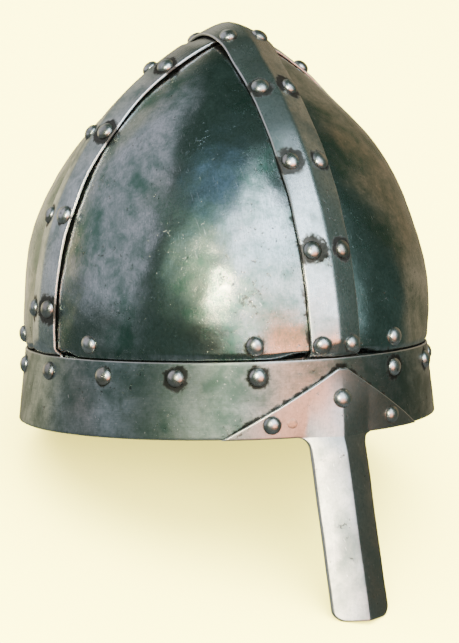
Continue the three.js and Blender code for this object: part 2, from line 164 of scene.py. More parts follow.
@dataclass(frozen=True)
class CrownShape:
    """The outside of the four plates as one smooth, slightly pointed dome."""

    length_mm: float = 218.0
    width_mm: float = 193.0
    tip_z_mm: float = 186.0
    foot_z_mm: float = 34.7
    shift_mm: float = -11.6
    bow_mm: float = 3.7
    square: float = 0.26
    front_curve: float = 2.05
    side_curve: float = 2.53
    fall: float = 1.69
    tip_round: float = 0.166
    tuck_mm: float = 3.4
    tuck_rise_mm: float = 3.6
    plate_tuck_mm: float = 2.0
    plate_tuck_rise_mm: float = 2.4
    dressed_from_mm: float = 15.0
    cross_foot_mm: float = -3.3
    rim_flare_long_mm: float = -4.0
    rim_flare_wide_mm: float = 10.6

    def rise(self, z: Array) -> Array:
        """Return the height above the band as a share of the crown's own height."""
        return np.clip((z - self.foot_z_mm) / (self.tip_z_mm - self.foot_z_mm), 0.0, 1.0)

    def _full(self, t: Array, curve: float) -> Array:
        """Return how full the crown still is at a share t of its height, from 1 at the foot to 0 at the tip."""
        v = 1.0 - t ** curve
        return np.sqrt((v ** self.fall + self.tip_round * v) / (1.0 + self.tip_round))

    def outline(self, z: Array) -> tuple[Array, Array, Array, Array]:
        """Find the crown's outline at some heights.

        Args:
            z: The heights in mm.

        Returns:
            Its half length, its half width, the y of its middle and the power that makes it squarer than an oval.
        """
        t = self.rise(z)
        tuck = self.tuck_mm * (1.0 - smooth((z - self.foot_z_mm - 0.5) / self.tuck_rise_mm))
        below = np.maximum(1.0 - z / self.foot_z_mm, 0.0)
        a = self.length_mm / 2 * self._full(t, self.front_curve) - tuck + below * self.rim_flare_long_mm / 2
        b = self.width_mm / 2 * self._full(t, self.side_curve) - tuck + below * self.rim_flare_wide_mm / 2
        y = self.shift_mm * t + self.bow_mm * 4.0 * t * (1.0 - t)
        return np.maximum(a, 1e-4), np.maximum(b, 1e-4), y, 2.0 + self.square * 4.0 * t * (1.0 - t)

    def ring(self, angle: Array, z: Array) -> Array:
        """Find points on the crown.

        Args:
            angle: Their angles, 0 at the front and growing towards the wearer's left.
            z: Their heights in mm.

        Returns:
            The points in mm.
        """
        a, b, y, n = self.outline(z)
        sine, cosine = np.sin(angle), np.cos(angle)
        return np.stack([b * np.sign(sine) * np.abs(sine) ** (2 / n),
                         y - a * np.sign(cosine) * np.abs(cosine) ** (2 / n), z + 0.0 * angle], axis=-1)

    def depth(self, points: Array) -> Array:
        """Tell the inside of the crown from the outside.

        Args:
            points: Points in mm.

        Returns:
            A number for each, below 0 inside the crown and above 0 outside it.
        """
        z = points[..., 2]
        a, b, y, n = self.outline(z)
        inside = np.abs(points[..., 0] / b) ** n + np.abs((points[..., 1] - y) / a) ** n - 1.0
        return np.where(z > self.tip_z_mm - 0.001, 1.0 + z - self.tip_z_mm, inside)

    def normal(self, points: Array) -> Array:
        """Find which way the crown faces.

        Args:
            points: Points on the crown in mm.

        Returns:
            The outward direction at each, of length 1.
        """
        step = 0.05
        slopes = []
        for axis in np.eye(3) * step:
            slopes.append(self.depth(points + axis) - self.depth(points - axis))
        way = np.stack(slopes, axis=-1)
        return way / np.linalg.norm(way, axis=-1, keepdims=True)

    def cross_line(self, z: Array) -> Array:
        """Return the y of the middle of the cross strap at heights z."""
        return self.cross_foot_mm + (self.shift_mm - self.cross_foot_mm) * self.rise(z)

    def plate_stand(self, points: Array) -> Array:
        """Find how far a plate stands out from the crown that the straps follow, just above the band.

        Args:
            points: Points on the crown in mm.

        Returns:
            The distance at each in mm.
        """
        z = points[..., 2]
        nearest = np.minimum(np.abs(points[..., 0]), np.abs(points[..., 1] - self.cross_line(z)))
        strap = self.tuck_mm * (1.0 - smooth((z - self.foot_z_mm - 0.5) / self.tuck_rise_mm))
        plate = self.plate_tuck_mm * (1.0 - smooth((z - self.foot_z_mm - 0.2) / self.plate_tuck_rise_mm))
        return (strap - plate) * smooth((nearest - self.dressed_from_mm) / self.dressed_from_mm)

    def exit(self, path: Callable[[Array], Array], count: tuple[int, ...]) -> Array:
        """Find where paths that start inside the crown leave it.

        Args:
            path: Gives the points at an array of distances along the paths.
            count: The shape of that array.

        Returns:
            The points where the paths leave the crown.
        """
        inner = np.zeros(count)
        outer = np.full(count, 260.0)
        for _ in range(44):
            middle = (inner + outer) / 2.0
            within = self.depth(path(middle)) < 0.0
            inner = np.where(within, middle, inner)
            outer = np.where(within, outer, middle)
        return path(inner)


@dataclass(frozen=True)
class BandShape:
    """The outside of the brow band, a tapered oval hoop."""

    rim_length_mm: float = 215.0
    rim_width_mm: float = 204.0
    top_length_mm: float = 219.0
    top_width_mm: float = 193.4
    height_mm: float = 34.7
    round_mm: float = 103.0

    def point(self, angle: Array, z: Array, out: Array) -> Array:
        """Find points on the band.

        Args:
            angle: Their angles, 0 at the front and growing towards the wearer's left.
            z: Their heights above the rim in mm.
            out: How far they lie outside its face in mm.

        Returns:
            The points in mm.
        """
        k = np.maximum(z, 0.0) / self.height_mm
        a = (self.rim_length_mm + (self.top_length_mm - self.rim_length_mm) * k) / 2 + out
        b = (self.rim_width_mm + (self.top_width_mm - self.rim_width_mm) * k) / 2 + out
        return np.stack([b * np.sin(angle), -a * np.cos(angle), z + 0.0 * angle], axis=-1)


# ---------------------------------------------------------------- meshes

def sheet_mesh(name: str, outside: Array, inside: Array, around: Array, keep: Optional[Array] = None,
               ring: bool = False) -> bpy.types.Object:
    """Make a closed sheet between two grids of points.

    Args:
        name: The piece's name.
        outside: Points of the outer face in m, rows by columns by 3.
        inside: Points of the inner face, the same shape.
        around: Place across and along the sheet and distance from its edge in mm, rows by columns by 3.
        keep: Which cells are metal, (rows - 1) by (columns - 1); all of them if left out.
        ring: True when the last column joins the first.

    Returns:
        The piece, smooth shaded, with its place along the sheet in the attribute "sheet_mm".
    """
    rows, columns = outside.shape[:2]
    last = columns if ring else columns - 1
    keep = np.ones((rows - 1, last), bool) if keep is None else keep
    faces: list[tuple[int, int, int, int]] = []

    def at(side: int, r: int, c: int) -> int:
        """Return the number of a point: side 0 is the outer face, 1 the inner."""
        return (side * rows + r) * columns + c % columns

    def metal(r: int, c: int) -> bool:
        """Return whether a cell is metal, going round where the sheet is a ring."""
        c = c % columns if ring else c
        return 0 <= r < rows - 1 and 0 <= c < last and bool(keep[r, c])

    for r in range(rows - 1):
        for c in range(last):
            if not keep[r, c]:
                continue
            faces.append((at(0, r, c), at(0, r, c + 1), at(0, r + 1, c + 1), at(0, r + 1, c)))
            faces.append((at(1, r, c), at(1, r + 1, c), at(1, r + 1, c + 1), at(1, r, c + 1)))
            if not metal(r - 1, c):
                faces.append((at(0, r, c + 1), at(0, r, c), at(1, r, c), at(1, r, c + 1)))
            if not metal(r, c + 1):
                faces.append((at(0, r + 1, c + 1), at(0, r, c + 1), at(1, r, c + 1), at(1, r + 1, c + 1)))
            if not metal(r + 1, c):
                faces.append((at(0, r + 1, c), at(0, r + 1, c + 1), at(1, r + 1, c + 1), at(1, r + 1, c)))
            if not metal(r, c - 1):
                faces.append((at(0, r, c), at(0, r + 1, c), at(1, r + 1, c), at(1, r, c)))
    points = np.concatenate([outside.reshape(-1, 3), inside.reshape(-1, 3)])
    mesh = bpy.data.meshes.new(name)
    mesh.from_pydata(points.tolist(), [], faces)
    place = mesh.attributes.new("sheet_mm", "FLOAT_VECTOR", "POINT")
    place.data.foreach_set("vector", np.concatenate([around.reshape(-1, 3)] * 2).astype(np.float32).ravel())
    return finish_mesh(name, mesh)


def finish_mesh(name: str, mesh: bpy.types.Mesh) -> bpy.types.Object:
    """Clean a mesh, turn its faces out, shade it smooth and put it in the scene.

    Args:
        name: The piece's name.
        mesh: The mesh to finish.

    Returns:
        The new piece.
    """
    work = bmesh.new()
    work.from_mesh(mesh)
    loose = [v for v in work.verts if not v.link_faces]
    bmesh.ops.delete(work, geom=loose, context="VERTS")
    bmesh.ops.remove_doubles(work, verts=work.verts, dist=1e-6)
    bmesh.ops.recalc_face_normals(work, faces=work.faces)
    for face in work.faces:
        face.smooth = True
    work.to_mesh(mesh)
    work.free()
    piece = bpy.data.objects.new(name, mesh)
    bpy.context.collection.objects.link(piece)
    return piece


def foot_rows(foot_mm: float, upper_mm: float) -> Array:
    """Return the heights of a sheet's rows behind the band, then close together where it comes out of it."""
    return np.concatenate([[foot_mm, 24.0, 31.0], np.linspace(34.2, upper_mm, 18)])


def edge_depths(section: float, thickness: float, steps: int = 4) -> tuple[Array, Array]:
    """Return how a sheet's filed edge falls away: distance in from the edge and depth below its face.

    Args:
        section: Radius of the rounding in mm.
        thickness: The sheet's thickness in mm.
        steps: How many steps the rounding takes.

    Returns:
        Two arrays, from the inner end of the rounding to the edge itself.
    """
    turn = np.linspace(0.0, math.pi / 2, steps + 1)
    radius = min(section, thickness * 0.45)
    return radius * (1.0 - np.sin(turn)), radius * (1.0 - np.cos(turn))


# ---------------------------------------------------------------- finishes

def add_node(tree: bpy.types.NodeTree, kind: str, settings: Optional[dict[str, Any]] = None,
             inputs: Optional[dict[Any, Any]] = None) -> bpy.types.Node:
    """Add a node, with its settings, and its inputs set or linked.

    Args:
        tree: The tree that gets the node.
        kind: The node's type name.
        settings: Properties of the node.
        inputs: Input name or number, to a value or to the socket that feeds it.

    Returns:
        The new node.
    """
    node = tree.nodes.new(kind)
    for key, value in (settings or {}).items():
        setattr(node, key, value)
    for key, value in (inputs or {}).items():
        if isinstance(value, bpy.types.NodeSocket):
            tree.links.new(value, node.inputs[key])
        else:
            node.inputs[key].default_value = value
    return node


class Grain(Enum):
    """Which way the finishing scratches run, as the comb that stretches them across and along the sheet."""

    ALONG = (7.0, 0.22, 0.0)
    AROUND = (0.14, 6.0, 0.0)
    CROSSED = (3.2, 0.5, 0.0)


@dataclass(frozen=True)
class ForgedSteel:
    """Mild steel, hammered to shape, with scale left in the hollows and polished by hand on top.

    The wheel leaves it bright, with soft grey-green clouds of patina where it lingered less, fine scratches one
    way, pinhead pits and black scale round the rivets. Along the laps the black is partly scale and partly
    painted shade of the gap under the edge, and in the crevices it is painted shade from ambient occlusion.
    """

    name: str
    bright: str
    patina: str
    warm: str = "#a9a49b"
    # The colour of scale, also used for the painted shade along the laps and in the crevices.
    scale: str = "#14120e"
    rubbed: str = "#d2d4d2"
    roughness: float = 0.2
    patina_roughness: float = 0.34
    patina_share: float = 0.5
    cloud_mm: float = 34.0
    blotch_mm: float = 9.0
    pit_mm: float = 2.4
    tooth: float = 0.12
    grain: Grain = Grain.CROSSED
    grain_depth: float = 0.25
    halo_mm: float = 5.7
    lap_mm: float = 0.0
    worn_mm: float = 0.0

    def material(self) -> bpy.types.Material:
        """Build the material, once for each finish.

        Returns:
            The node material of this finish.
        """
        steel = bpy.data.materials.get(self.name)
        if steel is not None:
            return steel
        steel = bpy.data.materials.new(self.name)
        steel.use_nodes = True
        tree = steel.node_tree
        tree.nodes.clear()
        patterns = self._patterns(tree)
        shares = self._shares(tree, patterns)
        shader = add_node(tree, "ShaderNodeBsdfPrincipled", {},
                          {"Base Color": self._colour(tree, shares), "Metallic": 1.0,
                           "Roughness": self._roughness(tree, patterns, shares),
                           "Normal": self._relief(tree, patterns, shares)})
        add_node(tree, "ShaderNodeOutputMaterial", {}, {"Surface": shader.outputs[0]})
        return steel

    def _patterns(self, tree: bpy.types.NodeTree) -> Sockets:
        """Lay out the patterns that the marks on the steel are cut from.

        Args:
            tree: The material's tree.

        Returns:
            The patterns by name: noises, scratches, and distances from an edge and from a rivet in mm.
        """
        place = add_node(tree, "ShaderNodeTexCoord").outputs["Object"]
        sheet = add_node(tree, "ShaderNodeAttribute", {"attribute_name": "sheet_mm"}).outputs["Vector"]
        # Size of the features in mm, then the noise's detail, roughness and distortion.
        noises = {
            # Patina: clouds a few centimetres across, broken up by blotches the size of a fingertip.
            "clouds": (self.cloud_mm, 5.0, 0.6, 0.5),
            "blotch": (self.blotch_mm, 7.0, 0.68, 0.3),
            # Heat and wax leave the sheet a little warm in places.
            "warmth": (self.cloud_mm * 1.9, 2.0, 0.5, 0.0),
            # Pits the size of a pinhead, gathered in drifts and left dark by the scale in them.
            "pits": (self.pit_mm, 3.0, 0.75, 0.0),
            "drift": (17.0, 3.0, 0.6, 0.0),
            # Tooth: the fine grain that rolling and etching leave, drawn a millimetre or so wide to show.
            "tooth": (1.5, 4.0, 0.7, 0.0),
            # The ragged border of the forge's scale, and of the painted shade along the laps.
            "ragged": (5.0, 4.0, 0.65, 0.4),
        }
        found = {}
        for name, (size_mm, detail, roughness, distortion) in noises.items():
            found[name] = add_node(tree, "ShaderNodeTexNoise", {"noise_dimensions": "3D"},
                                   {"Vector": place, "Scale": 1000.0 / size_mm, "Detail": detail,
                                    "Roughness": roughness, "Distortion": distortion}).outputs[0]
        # Finishing scratches: long one way and drawn a few tenths of a millimetre apart to show at all.
        combed = add_node(tree, "ShaderNodeVectorMath", {"operation": "MULTIPLY"}, {0: sheet, 1: self.grain.value})
        found["brush"] = add_node(tree, "ShaderNodeTexNoise", {"noise_dimensions": "3D"},
                                  {"Vector": combed.outputs[0], "Scale": 0.45, "Detail": 5.0,
                                   "Roughness": 0.72}).outputs[0]
        # Stray scratches from handling, each a few centimetres long.
        turned = add_node(tree, "ShaderNodeMapping", {"vector_type": "TEXTURE"},
                          {"Vector": sheet, "Rotation": (0.0, 0.0, 0.42), "Scale": (0.9, 26.0, 1.0)})
        found["stray"] = add_node(tree, "ShaderNodeTexNoise", {"noise_dimensions": "3D"},
                                  {"Vector": turned.outputs[0], "Scale": 0.9, "Detail": 2.0, "Roughness": 0.5,
                                   "Distortion": 0.15}).outputs[0]
        found["edge"] = add_node(tree, "ShaderNodeSeparateXYZ", {}, {0: sheet}).outputs[2]
        found["rivet"] = add_node(tree, "ShaderNodeAttribute", {"attribute_name": "rivet_mm"}).outputs["Fac"]
        # Ambient occlusion, which the crevice mark turns into painted shade.
        found["open"] = add_node(tree, "ShaderNodeAmbientOcclusion", {"samples": 4},
                                 {"Distance": 0.0016}).outputs["AO"]
        return found

    def _shares(self, tree: bpy.types.NodeTree, patterns: Sockets) -> Sockets:
        """Cut the patterns down to how much of each mark a point has.

        Args:
            tree: The material's tree.
            patterns: The patterns by name.

        Returns:
            The share of each mark by name, from 0 to its most.
        """
        # A pattern, how much of it counts, and the pattern that it is added to.
        sums = {"patina": ("blotch", 0.75, "clouds"), "pits": ("drift", 0.55, "pits"),
                "rivet": ("ragged", 7.0, "rivet"), "lap": ("ragged", 9.0, "edge")}
        mixed = {name: add_node(tree, "ShaderNodeMath", {"operation": "MULTIPLY_ADD"},
                                {0: patterns[part], 1: weight, 2: patterns[base]}).outputs[0]
                 for name, (part, weight, base) in sums.items()}
        centre = 1.16 - 0.55 * self.patina_share
        # What it is cut from, the value where it starts, the value where it is full, and its share there.
        cuts = {
            "patina": (mixed["patina"], centre - 0.26, centre + 0.26, 1.0),
            "warmth": (patterns["warmth"], 0.44, 0.66, 1.0),
            "streak": (patterns["brush"], 0.38, 0.72, 0.34),
            "tooth": (patterns["tooth"], 0.4, 0.68, self.tooth * 3.0),
            "stray": (patterns["stray"], 0.69, 0.74, 1.0),
            "pale": (patterns["stray"], 0.69, 0.74, 0.42),
            "pits": (mixed["pits"], 0.93, 1.03, 1.0),
            "pitted": (mixed["pits"], 0.93, 1.03, 0.62),
            # Scale from the forge, ragged, round each rivet. Along a lap, and on the band along the guard's edge, the
            # dark is partly scale and partly painted shade of the gap under the edge; in the crevices it is painted
            # shade from the ambient occlusion.
            "halo": (mixed["rivet"], self.halo_mm + 3.9, self.halo_mm + 2.3, 0.95 if self.halo_mm > 0.0 else 0.0),
            "lap": (mixed["lap"], self.lap_mm + 5.0, self.lap_mm + 3.4, 0.85 if self.lap_mm > 0.0 else 0.0),
            "crevice_shade": (patterns["open"], 0.72, 0.36, 1.0),
            # The filed edge is bright where hands and cloths rub it.
            "worn": (patterns["edge"], self.worn_mm, self.worn_mm * 0.4, 0.8 if self.worn_mm > 0.0 else 0.0),
        }
        found = {name: add_node(tree, "ShaderNodeMapRange", {"interpolation_type": "SMOOTHSTEP"},
                                {"Value": value, "From Min": start, "From Max": full, "To Min": 0.0,
                                 "To Max": most}).outputs[0]
                 for name, (value, start, full, most) in cuts.items()}
        # The darkest of these marks, scale and painted shade together, is laid on in the scale's colour.
        found["dark"] = found["halo"]
        for mark in ("lap", "crevice_shade"):
            found["dark"] = add_node(tree, "ShaderNodeMath", {"operation": "MAXIMUM"},
                                     {0: found["dark"], 1: found[mark]}).outputs[0]
        found["scale_and_shade"] = add_node(tree, "ShaderNodeMath", {"operation": "MULTIPLY"},
                                   {0: found["dark"], 1: 0.93}).outputs[0]
        return found

    def _colour(self, tree: bpy.types.NodeTree, shares: Sockets) -> bpy.types.NodeSocket:
        """Lay the colour of each mark over the bright steel, one after the other.

        Args:
            tree: The material's tree.
            shares: The share of each mark by name.

        Returns:
            The steel's colour.
        """
        colour: Any = srgb(self.bright)
        # The last layer lays scale and painted shade on in the scale's colour.
        layers = (("warmth", self.warm), ("patina", self.patina), ("streak", self.patina), ("tooth", self.patina),
                  ("worn", self.rubbed), ("pale", self.rubbed), ("pitted", self.scale), ("scale_and_shade", self.scale))
        for mark, over in layers:
            colour = add_node(tree, "ShaderNodeMix", {"data_type": "RGBA"},
                              {0: shares[mark], 6: colour, 7: srgb(over)}).outputs[2]
        return colour

    def _roughness(self, tree: bpy.types.NodeTree, patterns: Sockets, shares: Sockets) -> bpy.types.NodeSocket:
        """Make patina, scratches and scale duller than the bright steel.

        Args:
            tree: The material's tree.
            patterns: The patterns by name.
            shares: The share of each mark by name.

        Returns:
            The steel's roughness.
        """
        rough = add_node(tree, "ShaderNodeMapRange", {"interpolation_type": "SMOOTHSTEP"},
                         {"Value": shares["patina"], "To Min": self.roughness,
                          "To Max": self.patina_roughness}).outputs[0]
        for mark, weight in ((patterns["brush"], 0.14), (shares["dark"], 0.3)):
            rough = add_node(tree, "ShaderNodeMath", {"operation": "MULTIPLY_ADD"},
                             {0: mark, 1: weight, 2: rough}).outputs[0]
        return rough

    def _relief(self, tree: bpy.types.NodeTree, patterns: Sockets, shares: Sockets) -> bpy.types.NodeSocket:
        """Raise the grain and sink the scratches and the pits.

        Args:
            tree: The material's tree.
            patterns: The patterns by name.
            shares: The share of each mark by name.

        Returns:
            The steel's normal.
        """
        # What gives the height, how strong it is, how deep in m, and whether it goes into the steel.
        steps = ((patterns["brush"], self.grain_depth, 0.00008, False), (patterns["tooth"], self.tooth, 0.0003, False),
                 (shares["stray"], 0.2, 0.00008, True), (shares["pits"], 0.5, 0.00015, True))
        normal: dict[str, bpy.types.NodeSocket] = {}
        for height, strength, depth, inward in steps:
            bump = add_node(tree, "ShaderNodeBump", {"invert": inward},
                            {"Height": height, "Strength": strength, "Distance": depth} | normal)
            normal = {"Normal": bump.outputs[0]}
        return normal["Normal"]


@dataclass(frozen=True)
class Finishes:
    """The steels of the helmet."""

    # Cold-rolled sheet, raised with a hammer and waxed: a dark mirror, with green-grey clouds, and scale and
    # painted shade at the laps.
    plate: ForgedSteel = ForgedSteel(
        "patinated_sheet_steel", bright="#b0b8bb", patina="#48695d", roughness=0.1, patina_roughness=0.22,
        lap_mm=0.9, halo_mm=4.7)
    # Hot-rolled strip, folded and linished lengthways: the brightest steel, with bold scale round its rivets.
    strap: ForgedSteel = ForgedSteel(
        "polished_strap_steel", bright="#cdd6d7", patina="#647a77", warm="#b4b4b0", patina_share=0.36,
        grain=Grain.ALONG, worn_mm=0.55, halo_mm=6.3)
    # Strip rolled to a hoop and brushed round it: dull and streaky, darker than the straps.
    band: ForgedSteel = ForgedSteel(
        "brushed_band_steel", bright="#9daaac", patina="#465c56", warm="#979690", patina_share=0.6, roughness=0.24,
        grain=Grain.AROUND, grain_depth=0.5, worn_mm=0.6)
    # Thick plate, folded and polished down its length: pale and faintly warm, with a rubbed edge.
    guard: ForgedSteel = ForgedSteel(
        "polished_guard_steel", bright="#a9aaa9", patina="#6a7672", warm="#aa9f97", patina_share=0.42,
        roughness=0.25, grain=Grain.ALONG, worn_mm=0.7, halo_mm=4.6)
    # Hammered heads, worn bright on top: small mottles, no scale of their own.
    rivet: ForgedSteel = ForgedSteel(
        "polished_rivet_steel", bright="#ccd1d0", patina="#6c7875", patina_share=0.36, cloud_mm=7.0, blotch_mm=2.4,
        patina_roughness=0.3, halo_mm=0.0)


# ---------------------------------------------------------------- pieces

@dataclass
class CrownPlates:
    """The four plates that fill the quarters between the straps."""

    crown: CrownShape
    pose: RestPose
    finish: ForgedSteel
    thickness_mm: float = 1.3
    seam_half_gap_mm: float = 3.0
    long_strap_half_mm: float = 12.6
    cross_strap_half_mm: float = 12.2
    band_lap_mm: float = 32.6
    foot_mm: float = 12.0
    top_mm: float = 180.0
    even_to_mm: float = 40.0
    uneven_over_mm: float = 12.0
    rows: int = 110
    columns: int = 84
    hammered: Undulation = Undulation(0.28, 46.0, 11)
    dimpled: Undulation = Undulation(0.035, 9.0, 12)

    def _grid(self, quarter: int, depth: float) -> tuple[Array, Array]:
        """Lay out one face of a plate.

        Args:
            quarter: Which quarter it fills, counted from the front towards the wearer's left.
            depth: How far the face lies under the plate's outside in mm.

        Returns:
            Its points, and their places round and up the sheet and distances from a lap, all in mm.
        """
        z = np.concatenate([foot_rows(self.foot_mm, self.even_to_mm),
                            np.linspace(self.even_to_mm + 1.5, self.top_mm, self.rows)])[:, None]
        a, b, _, _ = self.crown.outline(z)
        from_long = np.arcsin(np.minimum(self.seam_half_gap_mm / b, 0.5))
        from_cross = np.arcsin(np.minimum(self.seam_half_gap_mm / a, 0.5))
        first, last = (from_cross, from_long) if quarter % 2 else (from_long, from_cross)
        share = np.linspace(0.0, 1.0, self.columns)[None, :]
        angle = quarter * math.pi / 2 + first + (math.pi / 2 - first - last) * share
        points = self.crown.ring(angle, z)
        fade = smooth((z - self.even_to_mm) / self.uneven_over_mm)
        uneven = (self.hammered.at(points) + self.dimpled.at(points)) * fade
        moved = points + self.crown.normal(points) * (self.crown.plate_stand(points) + uneven - depth)[..., None]
        from_strap = np.minimum(np.abs(points[..., 0]) - self.long_strap_half_mm,
                                np.abs(self.crown.cross_line(z) - points[..., 1]) - self.cross_strap_half_mm)
        lap = np.maximum(np.minimum(from_strap, z - self.band_lap_mm), 0.0)
        return moved, np.stack([angle * ROUND_MM, z + 0.0 * angle, lap], axis=-1)

    def build(self) -> list[bpy.types.Object]:
        """Build and dress the four plates.

        Returns:
            The plates.
        """
        material = self.finish.material()
        pieces = []
        for quarter, side in enumerate(("front_left", "back_left", "back_right", "front_right")):
            outside, around = self._grid(quarter, 0.0)
            inside, _ = self._grid(quarter, self.thickness_mm)
            piece = sheet_mesh(f"crown_{side}", self.pose.place(outside), self.pose.place(inside), around)
            piece.data.materials.append(material)
            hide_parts(f"plate_{side}")
            pieces.append(piece)
        return pieces


class StrapRun(Enum):
    """The two straps of the crown."""

    LONG = "front_to_back"
    CROSS = "side_to_side"


@dataclass
class Strap:
    """A folded strap that runs over the crown from one side of the band to the other."""

    run: StrapRun
    crown: CrownShape
    pose: RestPose
    finish: ForgedSteel
    half_mm: float
    thickness_mm: float = 1.4
    gap_mm: float = 0.45
    roof_mm: float = 2.3
    fold_mm: float = 0.5
    lift_mm: float = 2.3
    fade_in_mm: float = 8.0
    # How far from the tip the fold or the lift starts to change, and over how far.
    tip_fold_mm: tuple[float, float] = (8.0, 24.0)
    tip_lift_mm: tuple[float, float] = (18.0, 14.0)
    cross_fold_mm: tuple[float, float] = (14.0, 10.0)
    foot_mm: float = 12.0
    sweep_z_mm: float = 60.0
    edge_mm: float = 0.55
    columns: int = 25
    hammered: Undulation = Undulation(0.12, 26.0, 21)
    edge_wander: Undulation = Undulation(0.16, 34.0, 22)

    def _point(self, along: Array, z: Array, s: Array) -> Array:
        """Find points in the upright plane of the strap.

        Args:
            along: How far they lie from its middle, towards the back or the wearer's left, in mm.
            z: Their heights in mm.
            s: Their places across the strap in mm.

        Returns:
            The points in mm.
        """
        if self.run is StrapRun.LONG:
            return np.stack([s + 0.0 * along, self.crown.shift_mm + along, z + 0.0 * along], axis=-1)
        return np.stack([along, self.crown.cross_line(z) + s + 0.0 * along, z + 0.0 * along], axis=-1)

    def on_crown(self, side: float, s: Array, z: Array) -> Array:
        """Find points of the crown under a leg of the strap, at some heights.

        Args:
            side: -1 for the leg at the front or the wearer's right, 1 for the other.
            s: Their places across it in mm.
            z: Their heights in mm.

        Returns:
            The points in mm.
        """
        shape = np.broadcast(s, z).shape
        s, z = np.broadcast_to(s, shape), np.broadcast_to(z, shape)
        return self.crown.exit(lambda r: self._point(side * r, z, s), shape)

    def swept(self, side: float, s: Array, angle: Array) -> Array:
        """Find points of the crown under a leg of the strap, as seen from the crown's middle.

        Args:
            side: -1 for the leg at the front or the wearer's right, 1 for the other.
            s: Their places across it in mm.
            angle: The angles above the level that they are seen at.

        Returns:
            The points in mm.
        """
        shape = np.broadcast(s, angle).shape
        s, angle = np.broadcast_to(s, shape), np.broadcast_to(angle, shape)
        return self.crown.exit(
            lambda r: self._point(side * r * np.cos(angle), self.sweep_z_mm + r * np.sin(angle), s), shape)

    def raise_to_face(self, points: Array, s: Array, depth: Array) -> Array:
        """Move points of the crown out to the strap.

        Args:
            points: Points of the crown under the strap.
            s: Their places across it.
            depth: How far under its outside they come to lie.

        Returns:
            The moved points.
        """
        fold = np.sqrt((s / self.half_mm) ** 2 + (self.fold_mm / self.half_mm) ** 2)
        roof = self.roof_mm * (1.0 - fold) * smooth((points[..., 2] - self.crown.foot_z_mm) / self.fade_in_mm)
        if self.run is StrapRun.LONG:
            from_tip = np.abs(points[..., 1] - self.crown.shift_mm)
            roof = roof * (0.5 + 0.5 * smooth((from_tip - self.tip_fold_mm[0]) / self.tip_fold_mm[1]))
            lift = self.lift_mm * (1.0 - smooth((from_tip - self.tip_lift_mm[0]) / self.tip_lift_mm[1]))
        else:
            roof = roof * smooth((np.abs(points[..., 0]) - self.cross_fold_mm[0]) / self.cross_fold_mm[1])
            lift = 0.0
        out = self.gap_mm + self.thickness_mm - depth + roof + lift
        return points + self.crown.normal(points) * out[..., None]

    def _faces(self) -> tuple[Array, Array, Array]:
        """Lay out the strap.

        Returns:
            Its outer face, its inner face, and the places across and along it and distances from its edge, in mm.
        """
        inset, fall = edge_depths(self.edge_mm, self.thickness_mm)
        inner = np.linspace(-self.half_mm + inset[0], self.half_mm - inset[0], self.columns)
        s = np.concatenate([-self.half_mm + inset[:0:-1], inner, self.half_mm - inset[1:]])
        depth = np.concatenate([fall[:0:-1], np.zeros(self.columns), fall[1:]])
        feet = np.concatenate([foot_rows(self.foot_mm, 41.0), np.linspace(42.4, self.sweep_z_mm, 18)])
        turn = np.radians(np.concatenate([np.arange(0.6, 72.0, 0.66), np.linspace(72.0, 90.0, 36)]))
        legs = []
        for side in (-1.0, 1.0):
            low = self.on_crown(side, s[None, :], feet[:, None])
            high = self.swept(side, s[None, :], turn[:, None])
            legs.append(np.concatenate([low, high]))
        ground = np.concatenate([legs[0], legs[1][-2::-1]])
        along = np.zeros(len(ground))
        middle = ground[:, len(s) // 2]
        along[1:] = np.cumsum(np.linalg.norm(np.diff(middle, axis=0), axis=1))
        across = np.broadcast_to(s, ground.shape[:2])
        wander = 1.0 + self.edge_wander.at(ground) / self.half_mm * np.abs(across) / self.half_mm
        uneven = self.hammered.at(ground) * smooth((ground[..., 2] - self.crown.foot_z_mm) / self.fade_in_mm)
        outside = self.raise_to_face(ground, across, depth - uneven)
        inside = self.raise_to_face(ground, across, self.thickness_mm - depth - uneven)
        centre = outside[:, len(s) // 2][:, None]
        outside = centre + (outside - centre) * wander[..., None]
        inside = centre + (inside - centre) * wander[..., None]
        place = np.stack([across, np.broadcast_to(along[:, None], across.shape), self.half_mm - np.abs(across)],
                         axis=-1)
        return outside, inside, place

    def build(self) -> bpy.types.Object:
        """Build and dress the strap.

        Returns:
            The strap.
        """
        outside, inside, place = self._faces()
        piece = sheet_mesh(f"strap_{self.run.name.lower()}", self.pose.place(outside), self.pose.place(inside), place)
        piece.data.materials.append(self.finish.material())
        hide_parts(f"strap_{self.run.value}")
        return piece


@dataclass
class BrowBand:
    """The hoop round the foot of the helmet."""

    shape: BandShape
    pose: RestPose
    finish: ForgedSteel
    thickness_mm: float = 1.5
    edge_mm: float = 0.6
    rows: int = 34
    columns: int = 620
    hammered: Undulation = Undulation(0.13, 42.0, 31)

    def build(self) -> bpy.types.Object:
        """Build and dress the band.

        Returns:
            The band.
        """
        inset, fall = edge_depths(self.edge_mm, self.thickness_mm)
        inner = np.linspace(inset[0], self.shape.height_mm - inset[0], self.rows)
        z = np.concatenate([inset[:0:-1], inner, self.shape.height_mm - inset[1:]])[:, None]
        depth = np.concatenate([fall[:0:-1], np.zeros(self.rows), fall[1:]])[:, None]
        angle = (np.arange(self.columns) * 2.0 * math.pi / self.columns)[None, :]
        base = self.shape.point(angle, z, 0.0)
        uneven = self.hammered.at(base) * np.sin(math.pi * z / self.shape.height_mm)
        outside = self.shape.point(angle, z, uneven - depth)
        inside = self.shape.point(angle, z, uneven * 0.5 + depth - self.thickness_mm)
        height = z + 0.0 * angle
        round_mm = angle * self.shape.round_mm + 0.0 * z
        place = np.stack([round_mm, height, np.minimum(height, self.shape.height_mm - height)], axis=-1)
        piece = sheet_mesh("band_hoop", self.pose.place(outside), self.pose.place(inside), place, ring=True)
        piece.data.materials.append(self.finish.material())
        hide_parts("brow_band")
        return piece


